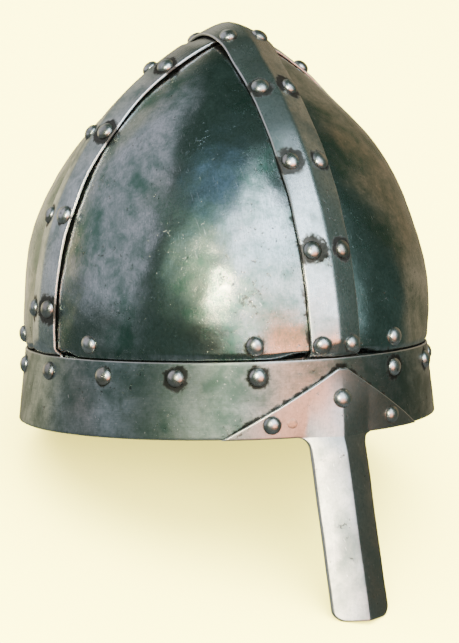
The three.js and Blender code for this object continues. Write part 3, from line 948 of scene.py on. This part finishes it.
@dataclass
class NoseGuard:
    """The triangular plate on the band with the bar over the nose, cut from one sheet."""

    band: BandShape
    pose: RestPose
    finish: ForgedSteel
    thickness_mm: float = 1.8
    gap_mm: float = 0.45
    top_mm: float = 31.4
    base_half_mm: float = 53.0
    bar_half_mm: float = 14.3
    drop_mm: float = 79.5
    lean_mm: float = 18.3
    crease_mm: float = 7.0
    crease_half_mm: float = 16.0
    crease_rise_mm: float = 42.0
    point_side_mm: float = 2.8
    fold_mm: float = 0.55
    shoulder_mm: float = 5.0
    corner_mm: float = 5.4
    corner_rise_mm: float = 4.86
    edge_mm: float = 0.6
    clean_rim_mm: float = 1.5
    hammered: Undulation = Undulation(0.1, 24.0, 41)

    def face(self, u: Array, v: Array, depth: Array) -> Array:
        """Find points of the guard.

        Args:
            u: Their places round the band in mm, 0 at the front.
            v: Their places up from the rim in mm.
            depth: How far they lie under its outside in mm.

        Returns:
            The points in mm.
        """
        fold = np.sqrt(u ** 2 + self.fold_mm ** 2) / self.crease_half_mm
        roof = self.crease_mm * np.maximum(1.0 - fold, 0.0) * smooth((self.top_mm - v) / self.crease_rise_mm)
        leant = u + self.point_side_mm * np.maximum(v, 0.0) / self.top_mm
        points = self.band.point(leant / self.band.round_mm, v, self.gap_mm + self.thickness_mm - depth + roof)
        points[..., 1] -= self.lean_mm * np.maximum(-v, 0.0) / self.drop_mm
        return points

    def _outline(self) -> Array:
        """Draw the outline that the guard is cut to.

        Returns:
            A closed loop of places (u, v) in mm.
        """
        half, shoulder, corner = self.bar_half_mm, self.shoulder_mm, self.corner_mm
        right = [(self.base_half_mm, 0.0), (half + shoulder, 0.0)]
        for turn in np.linspace(0.15, 1.0, 6) * math.pi / 2:
            right.append((half + shoulder * (1 - math.sin(turn)), -shoulder * (1 - math.cos(turn))))
        for turn in np.linspace(0.0, 1.0, 7) * math.pi / 2:
            right.append((half - corner * (1 - math.cos(turn)),
                          -self.drop_mm + self.corner_rise_mm * (1 - math.sin(turn))))
        left = [(-u, v) for u, v in reversed(right)]
        return np.array([(0.0, self.top_mm)] + right + left)

    def _edge_distance(self, u: Array, v: Array) -> Array:
        """Measure how far places on the guard are from its edge.

        Args:
            u: The places round the band in mm.
            v: The places up from the rim in mm.

        Returns:
            The distances in mm.
        """
        loop = self._outline()
        best = np.full(u.shape, 1e9)
        for (u0, v0), (u1, v1) in zip(loop, np.roll(loop, -1, axis=0)):
            du, dv = u1 - u0, v1 - v0
            k = np.clip(((u - u0) * du + (v - v0) * dv) / max(du * du + dv * dv, 1e-9), 0.0, 1.0)
            best = np.minimum(best, np.hypot(u - u0 - k * du, v - v0 - k * dv))
        return best

    def laps_on(self, hoop: bpy.types.Object) -> Array:
        """Measure how far each point of the band is from the guard's edge.

        Args:
            hoop: The band.

        Returns:
            The distances in mm plus a rivet's radius, as mark_scale_and_shade takes them.
        """
        place = np.empty(len(hoop.data.vertices) * 3)
        hoop.data.attributes["sheet_mm"].data.foreach_get("vector", place)
        place = place.reshape(-1, 3)
        turned = (place[:, 0] / self.band.round_mm + math.pi) % (2.0 * math.pi) - math.pi
        u = turned * self.band.round_mm - self.point_side_mm * np.maximum(place[:, 1], 0.0) / self.top_mm
        # Near the guard's edge the band is darkened, partly scale and partly painted shade under the guard.
        near = self._edge_distance(u, place[:, 1])
        # The polished rim carries neither scale nor painted shade.
        near[place[:, 1] < self.clean_rim_mm] = FAR_MM
        return near + RIVET_RADIUS_MM

    def _bar_half(self, v: float) -> float:
        """Measure the bar.

        Args:
            v: A height in mm, below 0 since the bar is below the rim.

        Returns:
            Half its width there in mm.
        """
        shoulder = self.shoulder_mm
        if v > -shoulder:
            return self.bar_half_mm + shoulder - math.sqrt(max(shoulder ** 2 - (v + shoulder) ** 2, 0.0))
        low = min(v + self.drop_mm - self.corner_rise_mm, 0.0) / self.corner_rise_mm
        return self.bar_half_mm - self.corner_mm * (1.0 - math.sqrt(max(1.0 - low ** 2, 0.0)))

    def _cells(self) -> tuple[Array, Array, Array]:
        """Lay out the rows and columns of the guard, close together at its edges.

        Returns:
            The places u and v of its points in mm, and which of the cells between them are metal.
        """
        share = (self.bar_half_mm + self.shoulder_mm) / self.base_half_mm
        inner = np.concatenate([[0.0, 0.006, 0.013, 0.022], np.linspace(0.04, share - 0.03, 11)])
        outer = np.concatenate([[share - 0.014, share], np.linspace(share + 0.02, 0.95, 18),
                                [0.965, 0.98, 0.99, 0.996, 1.0]])
        half = np.concatenate([inner, outer])
        columns = np.concatenate([-half[:0:-1], half])
        beside_bar = len(outer) - 2
        up = np.concatenate([[0.0, 0.12, 0.3, 0.6, 1.1], np.linspace(1.8, self.top_mm - 1.2, 26)])[::-1]
        foot = self.corner_rise_mm * np.array([1.0, 0.8, 0.62, 0.46, 0.32, 0.2, 0.1, 0.04, 0.0]) - self.drop_mm
        down = np.concatenate([[-0.1, -0.35, -0.8, -1.4, -2.2, -3.1, -4.0, -5.0],
                               np.linspace(-6.2, -self.drop_mm + 6.0, 52), foot])
        v = np.concatenate([up, down])
        half_widths = np.array([self.base_half_mm * (1.0 - height / self.top_mm) for height in up]
                               + [self._bar_half(height) / share for height in down])
        metal = np.ones((len(v) - 1, len(columns) - 1), bool)
        metal[len(up) - 1:, :beside_bar] = False
        metal[len(up) - 1:, len(columns) - 1 - beside_bar:] = False
        return half_widths[:, None] * columns, v[:, None] + 0.0 * columns, metal

    def build(self) -> bpy.types.Object:
        """Build and dress the guard.

        Returns:
            The guard.
        """
        u, v, metal = self._cells()
        away = self._edge_distance(u, v)
        rounding = self.edge_mm
        fall = rounding - np.sqrt(np.maximum(rounding ** 2 - np.maximum(rounding - away, 0.0) ** 2, 0.0))
        uneven = self.hammered.at(self.face(u, v, 0.0 * u))
        outside = self.face(u, v, fall - uneven)
        inside = self.face(u, v, self.thickness_mm - fall - uneven * 0.5)
        piece = sheet_mesh("guard_sheet", self.pose.place(outside), self.pose.place(inside),
                           np.stack([u, v, away], axis=-1), metal)
        piece.data.materials.append(self.finish.material())
        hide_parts("nose_guard")
        return piece


# ---------------------------------------------------------------- rivets

@dataclass(frozen=True)
class Seat:
    """Where one rivet sits: a point on the sheet in m and the direction out of it."""

    point: tuple[float, float, float]
    outward: tuple[float, float, float]


def seat_on(pose: RestPose, face: Callable[[Array, Array], Array], across: float, along: float,
            sink_mm: float) -> Seat:
    """Find a rivet's seat on a face.

    Args:
        pose: The helmet's pose.
        face: Gives points of the face in mm for places across and along it.
        across: The rivet's place across.
        along: The rivet's place along.
        sink_mm: How far the head is let into the face.

    Returns:
        The seat.
    """
    step = 0.7
    sides = np.array([[across, across - step, across + step, across, across],
                      [along, along, along, along - step, along + step]])
    p = face(sides[0], sides[1])
    outward = np.cross(p[2] - p[1], p[4] - p[3])
    outward /= np.linalg.norm(outward)
    if outward @ (p[0] - np.array([0.0, 0.0, MIDDLE_Z_MM])) < 0.0:
        outward = -outward
    return Seat(tuple(pose.place(p[0] - outward * sink_mm)), tuple(pose.turn(outward)))


def mark_scale_and_shade(piece: bpy.types.Object, seats: Sequence[Seat], seed: int, laps: Optional[Array] = None) -> None:
    """Store how far each point of a sheet is from the nearest rivet or lap, with some rivets reaching further.

    Args:
        piece: The sheet.
        seats: Where the rivets sit.
        seed: Seed of the reach of each rivet.
        laps: Distance in mm of each point of the sheet from a lap, on the same footing.
    """
    rng = np.random.default_rng(seed)
    spots = np.array([s.point for s in seats])
    reach = rng.uniform(*SCALE_REACH, len(spots))
    count = len(piece.data.vertices)
    points = np.empty(count * 3)
    piece.data.vertices.foreach_get("co", points)
    # Distances from a lap drive a dark mark that is partly painted shade.
    nearest = np.full(count, FAR_MM) if laps is None else laps.copy()
    for spot, factor in zip(spots, reach):
        away = np.linalg.norm(points.reshape(-1, 3) - spot, axis=1) * 1000.0
        nearest = np.minimum(nearest, away * factor)
    mark = piece.data.attributes.new("rivet_mm", "FLOAT", "POINT")
    mark.data.foreach_set("value", nearest.astype(np.float32))


class RivetTree:
    """The Geometry Nodes tree that forges a domed head on every point of a mesh."""

    INPUTS = (("Radius", "NodeSocketFloat", 0.0043), ("Height", "NodeSocketFloat", 0.0031),
              ("Uneven", "NodeSocketFloat", 0.06), ("Seed", "NodeSocketInt", 1),
              ("Finish", "NodeSocketMaterial", None))

    def __init__(self) -> None:
        """Build the tree."""
        self.tree = bpy.data.node_groups.new("forged_rivets", "GeometryNodeTree")
        face = self.tree.interface
        face.new_socket("Geometry", in_out="INPUT", socket_type="NodeSocketGeometry")
        for name, kind, value in self.INPUTS:
            socket = face.new_socket(name, in_out="INPUT", socket_type=kind)
            if value is not None:
                socket.default_value = value
        face.new_socket("Geometry", in_out="OUTPUT", socket_type="NodeSocketGeometry")
        tree = self.tree
        given = add_node(tree, "NodeGroupInput").outputs
        # A head: a ball whose lower half is pressed flat.
        ball = add_node(tree, "GeometryNodeMeshUVSphere", {}, {"Segments": 28, "Rings": 20, "Radius": 1.0})
        where = add_node(tree, "GeometryNodeInputPosition")
        parts = add_node(tree, "ShaderNodeSeparateXYZ", {}, {0: where.outputs[0]})
        above = add_node(tree, "ShaderNodeMath", {"operation": "MAXIMUM"}, {0: parts.outputs[2], 1: -0.06})
        dome = add_node(tree, "ShaderNodeCombineXYZ", {},
                        {0: parts.outputs[0], 1: parts.outputs[1], 2: above.outputs[0]})
        head = add_node(tree, "GeometryNodeSetPosition", {},
                        {"Geometry": ball.outputs["Mesh"], "Position": dome.outputs[0]})
        soft = add_node(tree, "GeometryNodeSetShadeSmooth", {}, {"Geometry": head.outputs[0]})
        # Each head is a little wider, higher or more tipped than the next.
        outward = add_node(tree, "GeometryNodeInputNamedAttribute", {"data_type": "FLOAT_VECTOR"},
                           {"Name": "outward"})
        low = add_node(tree, "ShaderNodeMath", {"operation": "SUBTRACT"}, {0: 1.0, 1: given["Uneven"]})
        high = add_node(tree, "ShaderNodeMath", {"operation": "ADD"}, {0: 1.0, 1: given["Uneven"]})
        spread = add_node(tree, "ShaderNodeCombineXYZ", {},
                          {0: low.outputs[0], 1: low.outputs[0], 2: low.outputs[0]})
        reach = add_node(tree, "ShaderNodeCombineXYZ", {},
                         {0: high.outputs[0], 1: high.outputs[0], 2: high.outputs[0]})
        chance = add_node(tree, "FunctionNodeRandomValue", {"data_type": "FLOAT_VECTOR"},
                          {"Min": spread.outputs[0], "Max": reach.outputs[0], "Seed": given["Seed"]})
        size = add_node(tree, "ShaderNodeCombineXYZ", {},
                        {0: given["Radius"], 1: given["Radius"], 2: given["Height"]})
        scale = add_node(tree, "ShaderNodeVectorMath", {"operation": "MULTIPLY"},
                         {0: size.outputs[0], 1: chance.outputs[0]})
        tipped = add_node(tree, "ShaderNodeVectorMath", {"operation": "MULTIPLY_ADD"},
                          {0: chance.outputs[0], 1: (0.5, 0.5, 0.5), 2: outward.outputs[0]})
        level = add_node(tree, "ShaderNodeVectorMath", {"operation": "SUBTRACT"},
                         {0: tipped.outputs[0], 1: (0.5, 0.5, 0.5)})
        turn = add_node(tree, "FunctionNodeAlignRotationToVector", {"axis": "Z"}, {"Vector": level.outputs[0]})
        # One head for each seat, made real and dressed.
        heads = add_node(tree, "GeometryNodeInstanceOnPoints", {},
                         {"Points": given["Geometry"], "Instance": soft.outputs[0],
                          "Rotation": turn.outputs[0], "Scale": scale.outputs[0]})
        real = add_node(tree, "GeometryNodeRealizeInstances", {}, {0: heads.outputs[0]})
        dressed = add_node(tree, "GeometryNodeSetMaterial", {},
                           {"Geometry": real.outputs[0], "Material": given["Finish"]})
        add_node(tree, "NodeGroupOutput", {}, {0: dressed.outputs[0]})

    def forge(self, name: str, seats: Sequence[Seat], settings: dict[str, Any]) -> bpy.types.Object:
        """Forge heads on seats and turn them into a plain mesh.

        Args:
            name: The piece's name.
            seats: Where the rivets sit.
            settings: The tree's inputs by name.

        Returns:
            The rivets as one piece.
        """
        points = bpy.data.meshes.new(f"{name}_seats")
        points.from_pydata([s.point for s in seats], [], [])
        way = points.attributes.new("outward", "FLOAT_VECTOR", "POINT")
        way.data.foreach_set("vector", [c for s in seats for c in s.outward])
        maker = bpy.data.objects.new(f"{name}_maker", points)
        bpy.context.collection.objects.link(maker)
        modifier = maker.modifiers.new("forge", "NODES")
        modifier.node_group = self.tree
        for item in self.tree.interface.items_tree:
            if item.item_type == "SOCKET" and item.in_out == "INPUT" and item.name in settings:
                modifier[item.identifier] = settings[item.name]
        evaluated = maker.evaluated_get(bpy.context.evaluated_depsgraph_get())
        mesh = bpy.data.meshes.new_from_object(evaluated)
        mesh.name = name
        bpy.data.objects.remove(maker, do_unlink=True)
        piece = bpy.data.objects.new(name, mesh)
        bpy.context.collection.objects.link(piece)
        return piece


@dataclass
class Rivets:
    """All the rivets: domed heads outside and hammered tails inside."""

    pose: RestPose
    finish: ForgedSteel
    crown: CrownShape
    band: BandShape
    long_strap: Strap
    cross_strap: Strap
    guard: NoseGuard
    radius_mm: float = RIVET_RADIUS_MM
    height_mm: float = 2.9
    sink_mm: float = 0.15
    thick_sink_mm: float = 0.12
    plate_sink_mm: float = 0.1
    pair_half_mm: float = 7.5
    long_pairs_mm: tuple[float, ...] = (40.7, 81.9, 121.2, 155.5)
    cross_pairs_mm: tuple[float, ...] = (56.7, 99.7, 137.5, 167.4)
    tip_pair_mm: float = 16.0
    band_row_mm: float = 27.7
    band_row_degrees: tuple[float, ...] = (21.2, 42.1, 62.9, 85.0, 106.0, 129.0, 154.0)
    plate_degrees: float = 21.5
    plate_row_mm: float = 41.6
    guard_places_mm: tuple[tuple[float, float], ...] = ((0.0, 16.8), (-31.5, 6.4), (31.5, 6.4))
    plugged_place_mm: tuple[float, float] = (-22.5, 7.0)
    plug_radius_mm: float = 3.0
    plug_height_mm: float = 0.4
    tail_radius_mm: float = 3.6
    tail_height_mm: float = 1.2
    # How far a tail lies under the plate's outside, and how much further out a low rivet's head is.
    tail_depth_mm: float = 1.2
    guard_stack_mm: float = 2.9
    guard_below_mm: float = 12.0
    tails_below_mm: float = 172.0

    def _strap_seats(self, strap: Strap, side: float, heights: Sequence[float]) -> list[Seat]:
        """Find the seats of the pairs on one leg of a strap.

        Args:
            strap: The strap.
            side: -1 for the leg at the front or the wearer's right, 1 for the other.
            heights: The height of each pair in mm.

        Returns:
            The seats, two for each pair.
        """
        def face(s: Array, z: Array) -> Array:
            """Return points of the strap's outside."""
            return strap.raise_to_face(strap.on_crown(side, s, z), s, np.zeros(s.shape))

        return [seat_on(self.pose, face, s, z, self.sink_mm) for z in heights
                for s in (-self.pair_half_mm, self.pair_half_mm)]

    def _tip_seats(self) -> list[Seat]:
        """Find the seats of the pairs before and behind the tip.

        Returns:
            The seats, two for each pair.
        """
        strap = self.long_strap

        def face(s: Array, along: Array) -> Array:
            """Find points of the strap's outside near the tip.

            Args:
                s: Their places across it in mm.
                along: How far they lie from the tip in mm, below 0 in front of it.

            Returns:
                The points in mm.
            """
            angle = math.pi / 2 - np.abs(along) / TIP_ABOVE_MIDDLE_MM
            ground = np.where((along < 0)[:, None], strap.swept(-1.0, s, angle), strap.swept(1.0, s, angle))
            return strap.raise_to_face(ground, s, np.zeros(s.shape))

        return [seat_on(self.pose, face, s, along, self.sink_mm) for along in (-self.tip_pair_mm, self.tip_pair_mm)
                for s in (-self.pair_half_mm, self.pair_half_mm)]

    def _band_seats(self) -> list[Seat]:
        """Find the seats of the row on the band.

        Returns:
            The seats, in pairs from the front and one at the back.
        """
        def face(around: Array, z: Array) -> Array:
            """Return points of the band's outside."""
            return self.band.point(around / ROUND_MM, z, 0.0)

        turns = [t for d in self.band_row_degrees for t in (-d, d)] + [180.0]
        return [seat_on(self.pose, face, math.radians(t) * ROUND_MM, self.band_row_mm, self.thick_sink_mm)
                for t in turns]

    def _plate_seats(self) -> list[Seat]:
        """Find the seats of the two rivets of each plate.

        Returns:
            The seats, in the order of the plates.
        """
        seats = []
        for quarter in range(4):
            for turn in (self.plate_degrees, 90.0 - self.plate_degrees):
                angle = np.array([math.radians(quarter * 90.0 + turn)])
                point = self.crown.ring(angle, np.array([self.plate_row_mm]))
                out = self.crown.normal(point)[0]
                sunk = point[0] - out * self.plate_sink_mm
                seats.append(Seat(tuple(self.pose.place(sunk)), tuple(self.pose.turn(out))))
        return seats

    def _guard_seats(self, places: Sequence[tuple[float, float]]) -> list[Seat]:
        """Find seats on the nose guard.

        Args:
            places: How far each is round the band and up from the rim in mm.

        Returns:
            The seats.
        """
        def face(u: Array, v: Array) -> Array:
            """Return points of the guard's outside."""
            return self.guard.face(u, v, np.zeros(u.shape))

        return [seat_on(self.pose, face, u, v, self.thick_sink_mm) for u, v in places]

    def groups(self) -> list[tuple[str, list[Seat], list[str]]]:
        """List the groups of rivets.

        Returns:
            Name, seats and the CAD nodes they stand for, for each group.
        """
        legs = ((self.long_strap, self.long_pairs_mm, ((-1.0, "front"), (1.0, "back"))),
                (self.cross_strap, self.cross_pairs_mm, ((-1.0, "right"), (1.0, "left"))))
        found = []
        for strap, pairs, sides in legs:
            for side, name in sides:
                nodes = [f"rivet_{name}_{i}{end}" for i in range(1, 5) for end in "ab"]
                found.append((f"rivets_{name}", self._strap_seats(strap, side, pairs), nodes))
        band_nodes = [f"rivet_band_{side}_{i}" for side in ("right", "left") for i in range(1, 8)]
        found.append(("rivets_band", self._band_seats(), band_nodes + ["rivet_band_back"]))
        found.append(("rivets_guard", self._guard_seats(self.guard_places_mm),
                      ["rivet_guard_top", "rivet_guard_right", "rivet_guard_left"]))
        found.append(("rivets_tip", self._tip_seats(), []))
        found.append(("rivets_plates", self._plate_seats(), []))
        return found

    def _tail_seat(self, seat: Seat) -> Optional[Seat]:
        """Find the seat of a rivet's tail inside the helmet.

        Args:
            seat: The seat of its head.

        Returns:
            The seat of its tail, or nothing near the tip, where the straps hide it.
        """
        back = np.linalg.inv(np.array(self.pose.matrix()))
        p = back[:3, :3] @ np.array(seat.point) + back[:3, 3]
        if p[2] > self.tails_below_mm:
            return None
        if p[2] < self.guard_below_mm:
            # Only the band and the guard reach this low.
            out = np.array([p[0], p[1], 0.0]) / math.hypot(p[0], p[1])
            inner = p - out * (self.guard_stack_mm + self.tail_depth_mm)
        else:
            z = p[2:3]
            a, b, y, n = self.crown.outline(z)
            away = (abs(p[0]) / b) ** n + (abs(p[1] - y) / a) ** n
            skin = np.stack([p[0] * away ** (-1 / n), y + (p[1] - y) * away ** (-1 / n), z], axis=-1)
            out = self.crown.normal(skin)[0]
            inner = skin[0] + out * (self.crown.plate_stand(skin)[0] - self.tail_depth_mm)
        return Seat(tuple(self.pose.place(inner)), tuple(self.pose.turn(-out)))

    def build(self) -> list[bpy.types.Object]:
        """Build and dress the rivets.

        Returns:
            One piece for each group of heads, one for the tails and one for the plugged hole.
        """
        tree = RivetTree()
        steel = self.finish.material()

        def head(radius_mm: float, height_mm: float, uneven: float, seed: int) -> dict[str, Any]:
            """Return the tree's inputs for heads of one size."""
            return {"Radius": radius_mm / 1000.0, "Height": height_mm / 1000.0, "Uneven": uneven, "Seed": seed,
                    "Finish": steel}

        pieces = []
        tails: list[Seat] = []
        for seed, (name, seats, nodes) in enumerate(self.groups(), 1):
            piece = tree.forge(name, seats, head(self.radius_mm, self.height_mm, 0.05, seed))
            if nodes:
                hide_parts(*nodes)
            tails += [tail for tail in map(self._tail_seat, seats) if tail is not None]
            pieces.append(piece)
        pieces.append(tree.forge("rivet_tails", tails, head(self.tail_radius_mm, self.tail_height_mm, 0.12, 40)))
        pieces.append(tree.forge("plugged_hole", self._guard_seats((self.plugged_place_mm,)),
                                 head(self.plug_radius_mm, self.plug_height_mm, 0.0, 41)))
        return pieces


# ---------------------------------------------------------------- floor, light and camera

@dataclass(frozen=True)
class Panel:
    """A soft panel of the studio round the helmet: where it hangs, how far it spreads and how bright it is."""

    azimuth: float
    elevation: float
    half_azimuth: float
    half_elevation: float
    soft: float
    colour: str
    brightness: float


@dataclass(frozen=True)
class Sky:
    """The studio's walls as a world: dim grey-green, with soft panels, one laid over the other."""

    dim: str = "#a6d2be"
    dim_brightness: float = 0.2
    panels: tuple[Panel, ...] = (
        Panel(0.0, -62.0, 200.0, 40.0, 20.0, "#ccd8d6", 0.34),
        Panel(-127.0, 24.0, 38.5, 33.0, 12.0, "#ece8f4", 1.05),
        Panel(-46.0, 39.0, 20.0, 27.0, 14.0, "#acdcd0", 1.55),
        Panel(40.0, 34.0, 12.0, 22.0, 14.0, "#b4d4d2", 1.1),
        Panel(-2.0, 42.0, 31.0, 31.0, 12.0, "#e6f2ff", 7.0),
        Panel(-42.0, 72.0, 36.0, 12.0, 16.0, "#98c0dc", 0.85),
        Panel(4.0, 11.0, 19.0, 15.0, 9.0, "#ffa67e", 6.6),
        Panel(-38.0, 29.0, 3.6, 7.0, 4.5, "#ffe8c0", 165.0),
        Panel(118.0, 10.0, 24.0, 32.0, 18.0, "#cdb896", 0.8),
        Panel(180.0, 20.0, 26.0, 15.0, 16.0, "#f2ebd8", 0.9),
        Panel(180.0, -12.0, 38.0, 12.0, 10.0, "#ffeec4", 1.4),
    )

    def build(self) -> None:
        """Build the world."""
        world = bpy.data.worlds.new("studio")
        world.use_nodes = True
        tree = world.node_tree
        tree.nodes.clear()
        way = add_node(tree, "ShaderNodeTexCoord").outputs["Generated"]
        parts = add_node(tree, "ShaderNodeSeparateXYZ", {}, {0: way}).outputs
        ahead = add_node(tree, "ShaderNodeMath", {"operation": "MULTIPLY"}, {0: parts[1], 1: -1.0})
        turn = add_node(tree, "ShaderNodeMath", {"operation": "ARCTAN2"}, {0: parts[0], 1: ahead.outputs[0]})
        azimuth = add_node(tree, "ShaderNodeMath", {"operation": "DEGREES"}, {0: turn.outputs[0]}).outputs[0]
        rise = add_node(tree, "ShaderNodeMath", {"operation": "ARCSINE"}, {0: parts[2]})
        elevation = add_node(tree, "ShaderNodeMath", {"operation": "DEGREES"}, {0: rise.outputs[0]}).outputs[0]
        colour: Any = tuple(c * self.dim_brightness for c in srgb(self.dim)[:3]) + (1.0,)
        for panel in self.panels:
            share = self._share(tree, azimuth, elevation, panel)
            lit = tuple(c * panel.brightness for c in srgb(panel.colour)[:3]) + (1.0,)
            colour = add_node(tree, "ShaderNodeMix", {"data_type": "RGBA"}, {0: share, 6: colour, 7: lit}).outputs[2]
        sky = add_node(tree, "ShaderNodeBackground", {}, {"Color": colour})
        add_node(tree, "ShaderNodeOutputWorld", {}, {"Surface": sky.outputs[0]})
        bpy.context.scene.world = world

    @staticmethod
    def _share(tree: bpy.types.NodeTree, azimuth: bpy.types.NodeSocket, elevation: bpy.types.NodeSocket,
               panel: Panel) -> bpy.types.NodeSocket:
        """Add the nodes that place a panel in the sky.

        Args:
            tree: The world's tree.
            azimuth: The direction's azimuth in degrees.
            elevation: Its elevation in degrees.
            panel: The panel.

        Returns:
            How much of the panel is seen in that direction.
        """
        sides = []
        for angle, middle, half in ((azimuth, panel.azimuth, panel.half_azimuth),
                                    (elevation, panel.elevation, panel.half_elevation)):
            off = add_node(tree, "ShaderNodeMath", {"operation": "SUBTRACT"}, {0: angle, 1: middle})
            near = add_node(tree, "ShaderNodeMath", {"operation": "WRAP"}, {0: off.outputs[0], 1: 180.0, 2: -180.0})
            size = add_node(tree, "ShaderNodeMath", {"operation": "ABSOLUTE"}, {0: near.outputs[0]})
            sides.append(add_node(tree, "ShaderNodeMapRange", {"interpolation_type": "SMOOTHSTEP"},
                                  {"Value": size.outputs[0], "From Min": half + panel.soft / 2,
                                   "From Max": half - panel.soft / 2}).outputs[0])
        return add_node(tree, "ShaderNodeMath", {"operation": "MULTIPLY"}, {0: sides[0], 1: sides[1]}).outputs[0]


@dataclass(frozen=True)
class FloorLight:
    """A wide soft light that lights the paper floor and isn't mirrored in the steel."""

    name: str
    place: tuple[float, float, float]
    size_m: float
    power: float
    colour: str = "#fff8e4"
    shadow: bool = True

    def build(self) -> None:
        """Hang the light, turned to the middle of the floor."""
        lamp = bpy.data.lights.new(self.name, "AREA")
        lamp.shape = "SQUARE"
        lamp.size = self.size_m
        lamp.energy = self.power
        lamp.color = srgb(self.colour)[:3]
        lamp.use_shadow = self.shadow
        rig = bpy.data.objects.new(self.name, lamp)
        spot = Vector(self.place)
        rig.matrix_world = Matrix.Translation(spot) @ spot.to_track_quat("Z", "Y").to_matrix().to_4x4()
        rig.visible_glossy = False
        bpy.context.collection.objects.link(rig)


@dataclass
class Studio:
    """The pale floor, the soft lights and the camera."""

    pose: RestPose
    azimuth: float = -27.084
    elevation: float = 4.393
    roll: float = -1.458
    distance_mm: float = 928.58
    aim_side_mm: float = 2.972
    aim_up_mm: float = 44.667
    lens_mm: float = 104.4487
    film_mm: float = 36.0
    floor_half_m: float = 40.0
    floor_colour: str = "#f6f078"
    sky: Sky = Sky()
    floor_lights: tuple[FloorLight, ...] = (
        FloorLight("overhead_light", (0.0, 0.4, 2.6), 6.0, 800.0),
        FloorLight("fill_light", (0.0, 0.4, 2.7), 6.0, 1200.0, shadow=False),
        FloorLight("front_light", (-0.9, -2.0, 0.75), 2.2, 300.0),
    )

    def _camera(self) -> None:
        """Put the camera at its angle to the helmet."""
        az, el, roll = (math.radians(a) for a in (self.azimuth, self.elevation, self.roll))
        back = np.array([math.sin(az) * math.cos(el), -math.cos(az) * math.cos(el), math.sin(el)])
        level = np.array([math.cos(az), math.sin(az), 0.0])
        rise = np.cross(back, level)
        right, up = (math.cos(roll) * level + math.sin(roll) * rise, -math.sin(roll) * level + math.cos(roll) * rise)
        eye = self.aim_side_mm * level + np.array([0.0, 0.0, self.aim_up_mm]) + back * self.distance_mm
        lens = bpy.data.cameras.new("camera")
        lens.sensor_width = self.film_mm
        lens.lens = self.lens_mm
        camera = bpy.data.objects.new("camera", lens)
        turned = Matrix(np.array([self.pose.turn(way) for way in (right, up, back)]).T.tolist()).to_4x4()
        camera.matrix_world = Matrix.Translation(self.pose.place(eye)) @ turned
        bpy.context.collection.objects.link(camera)
        bpy.context.scene.camera = camera

    def _floor(self) -> None:
        """Lay the floor: pale matt paper, which gives the eye nothing but the soft shadow."""
        half = self.floor_half_m
        mesh = bpy.data.meshes.new("floor")
        mesh.from_pydata([(-half, -half, 0), (half, -half, 0), (half, half, 0), (-half, half, 0)], [], [(0, 1, 2, 3)])
        floor = bpy.data.objects.new("floor", mesh)
        bpy.context.collection.objects.link(floor)
        paper = bpy.data.materials.new("studio_paper")
        paper.use_nodes = True
        shader = paper.node_tree.nodes["Principled BSDF"]
        shader.inputs["Base Color"].default_value = srgb(self.floor_colour)
        shader.inputs["Roughness"].default_value = 0.9
        shader.inputs["Specular IOR Level"].default_value = 0.1
        mesh.materials.append(paper)
        floor.visible_glossy = False

    def build(self) -> None:
        """Build floor, sky, lights and camera."""
        self._floor()
        self.sky.build()
        for light in self.floor_lights:
            light.build()
        self._camera()


def main() -> None:
    """Build the helmet, the studio and the camera, and report each piece."""
    logging.basicConfig(level=logging.INFO, format="%(name)s: %(message)s")
    pose = RestPose.from_record(frame["record"])
    finishes = Finishes()
    crown, hoop = CrownShape(), BandShape()
    plates = CrownPlates(crown, pose, finishes.plate)
    cross_strap = Strap(StrapRun.CROSS, crown, pose, finishes.strap, half_mm=12.2, lift_mm=0.0)
    long_strap = Strap(StrapRun.LONG, crown, pose, finishes.strap, half_mm=12.6, roof_mm=3.1)
    band = BrowBand(hoop, pose, finishes.band)
    guard = NoseGuard(hoop, pose, finishes.guard)
    rivets = Rivets(pose, finishes.rivet, crown, hoop, long_strap, cross_strap, guard)
    sheets = plates.build() + [cross_strap.build(), long_strap.build(), band.build(), guard.build()]
    seats = [seat for _, found, _ in rivets.groups() for seat in found]
    for seed, sheet in enumerate(sheets, SCALE_SEED):
        laps = guard.laps_on(sheet) if sheet.name == "band_hoop" else None
        mark_scale_and_shade(sheet, seats, seed, laps)
    pieces = sheets + rivets.build()
    for piece in pieces:
        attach(piece, "root")
        LOG.info("%s: %d faces", piece.name, len(piece.data.polygons))
    Studio(pose).build()


if __name__ == "__main__":
    main()
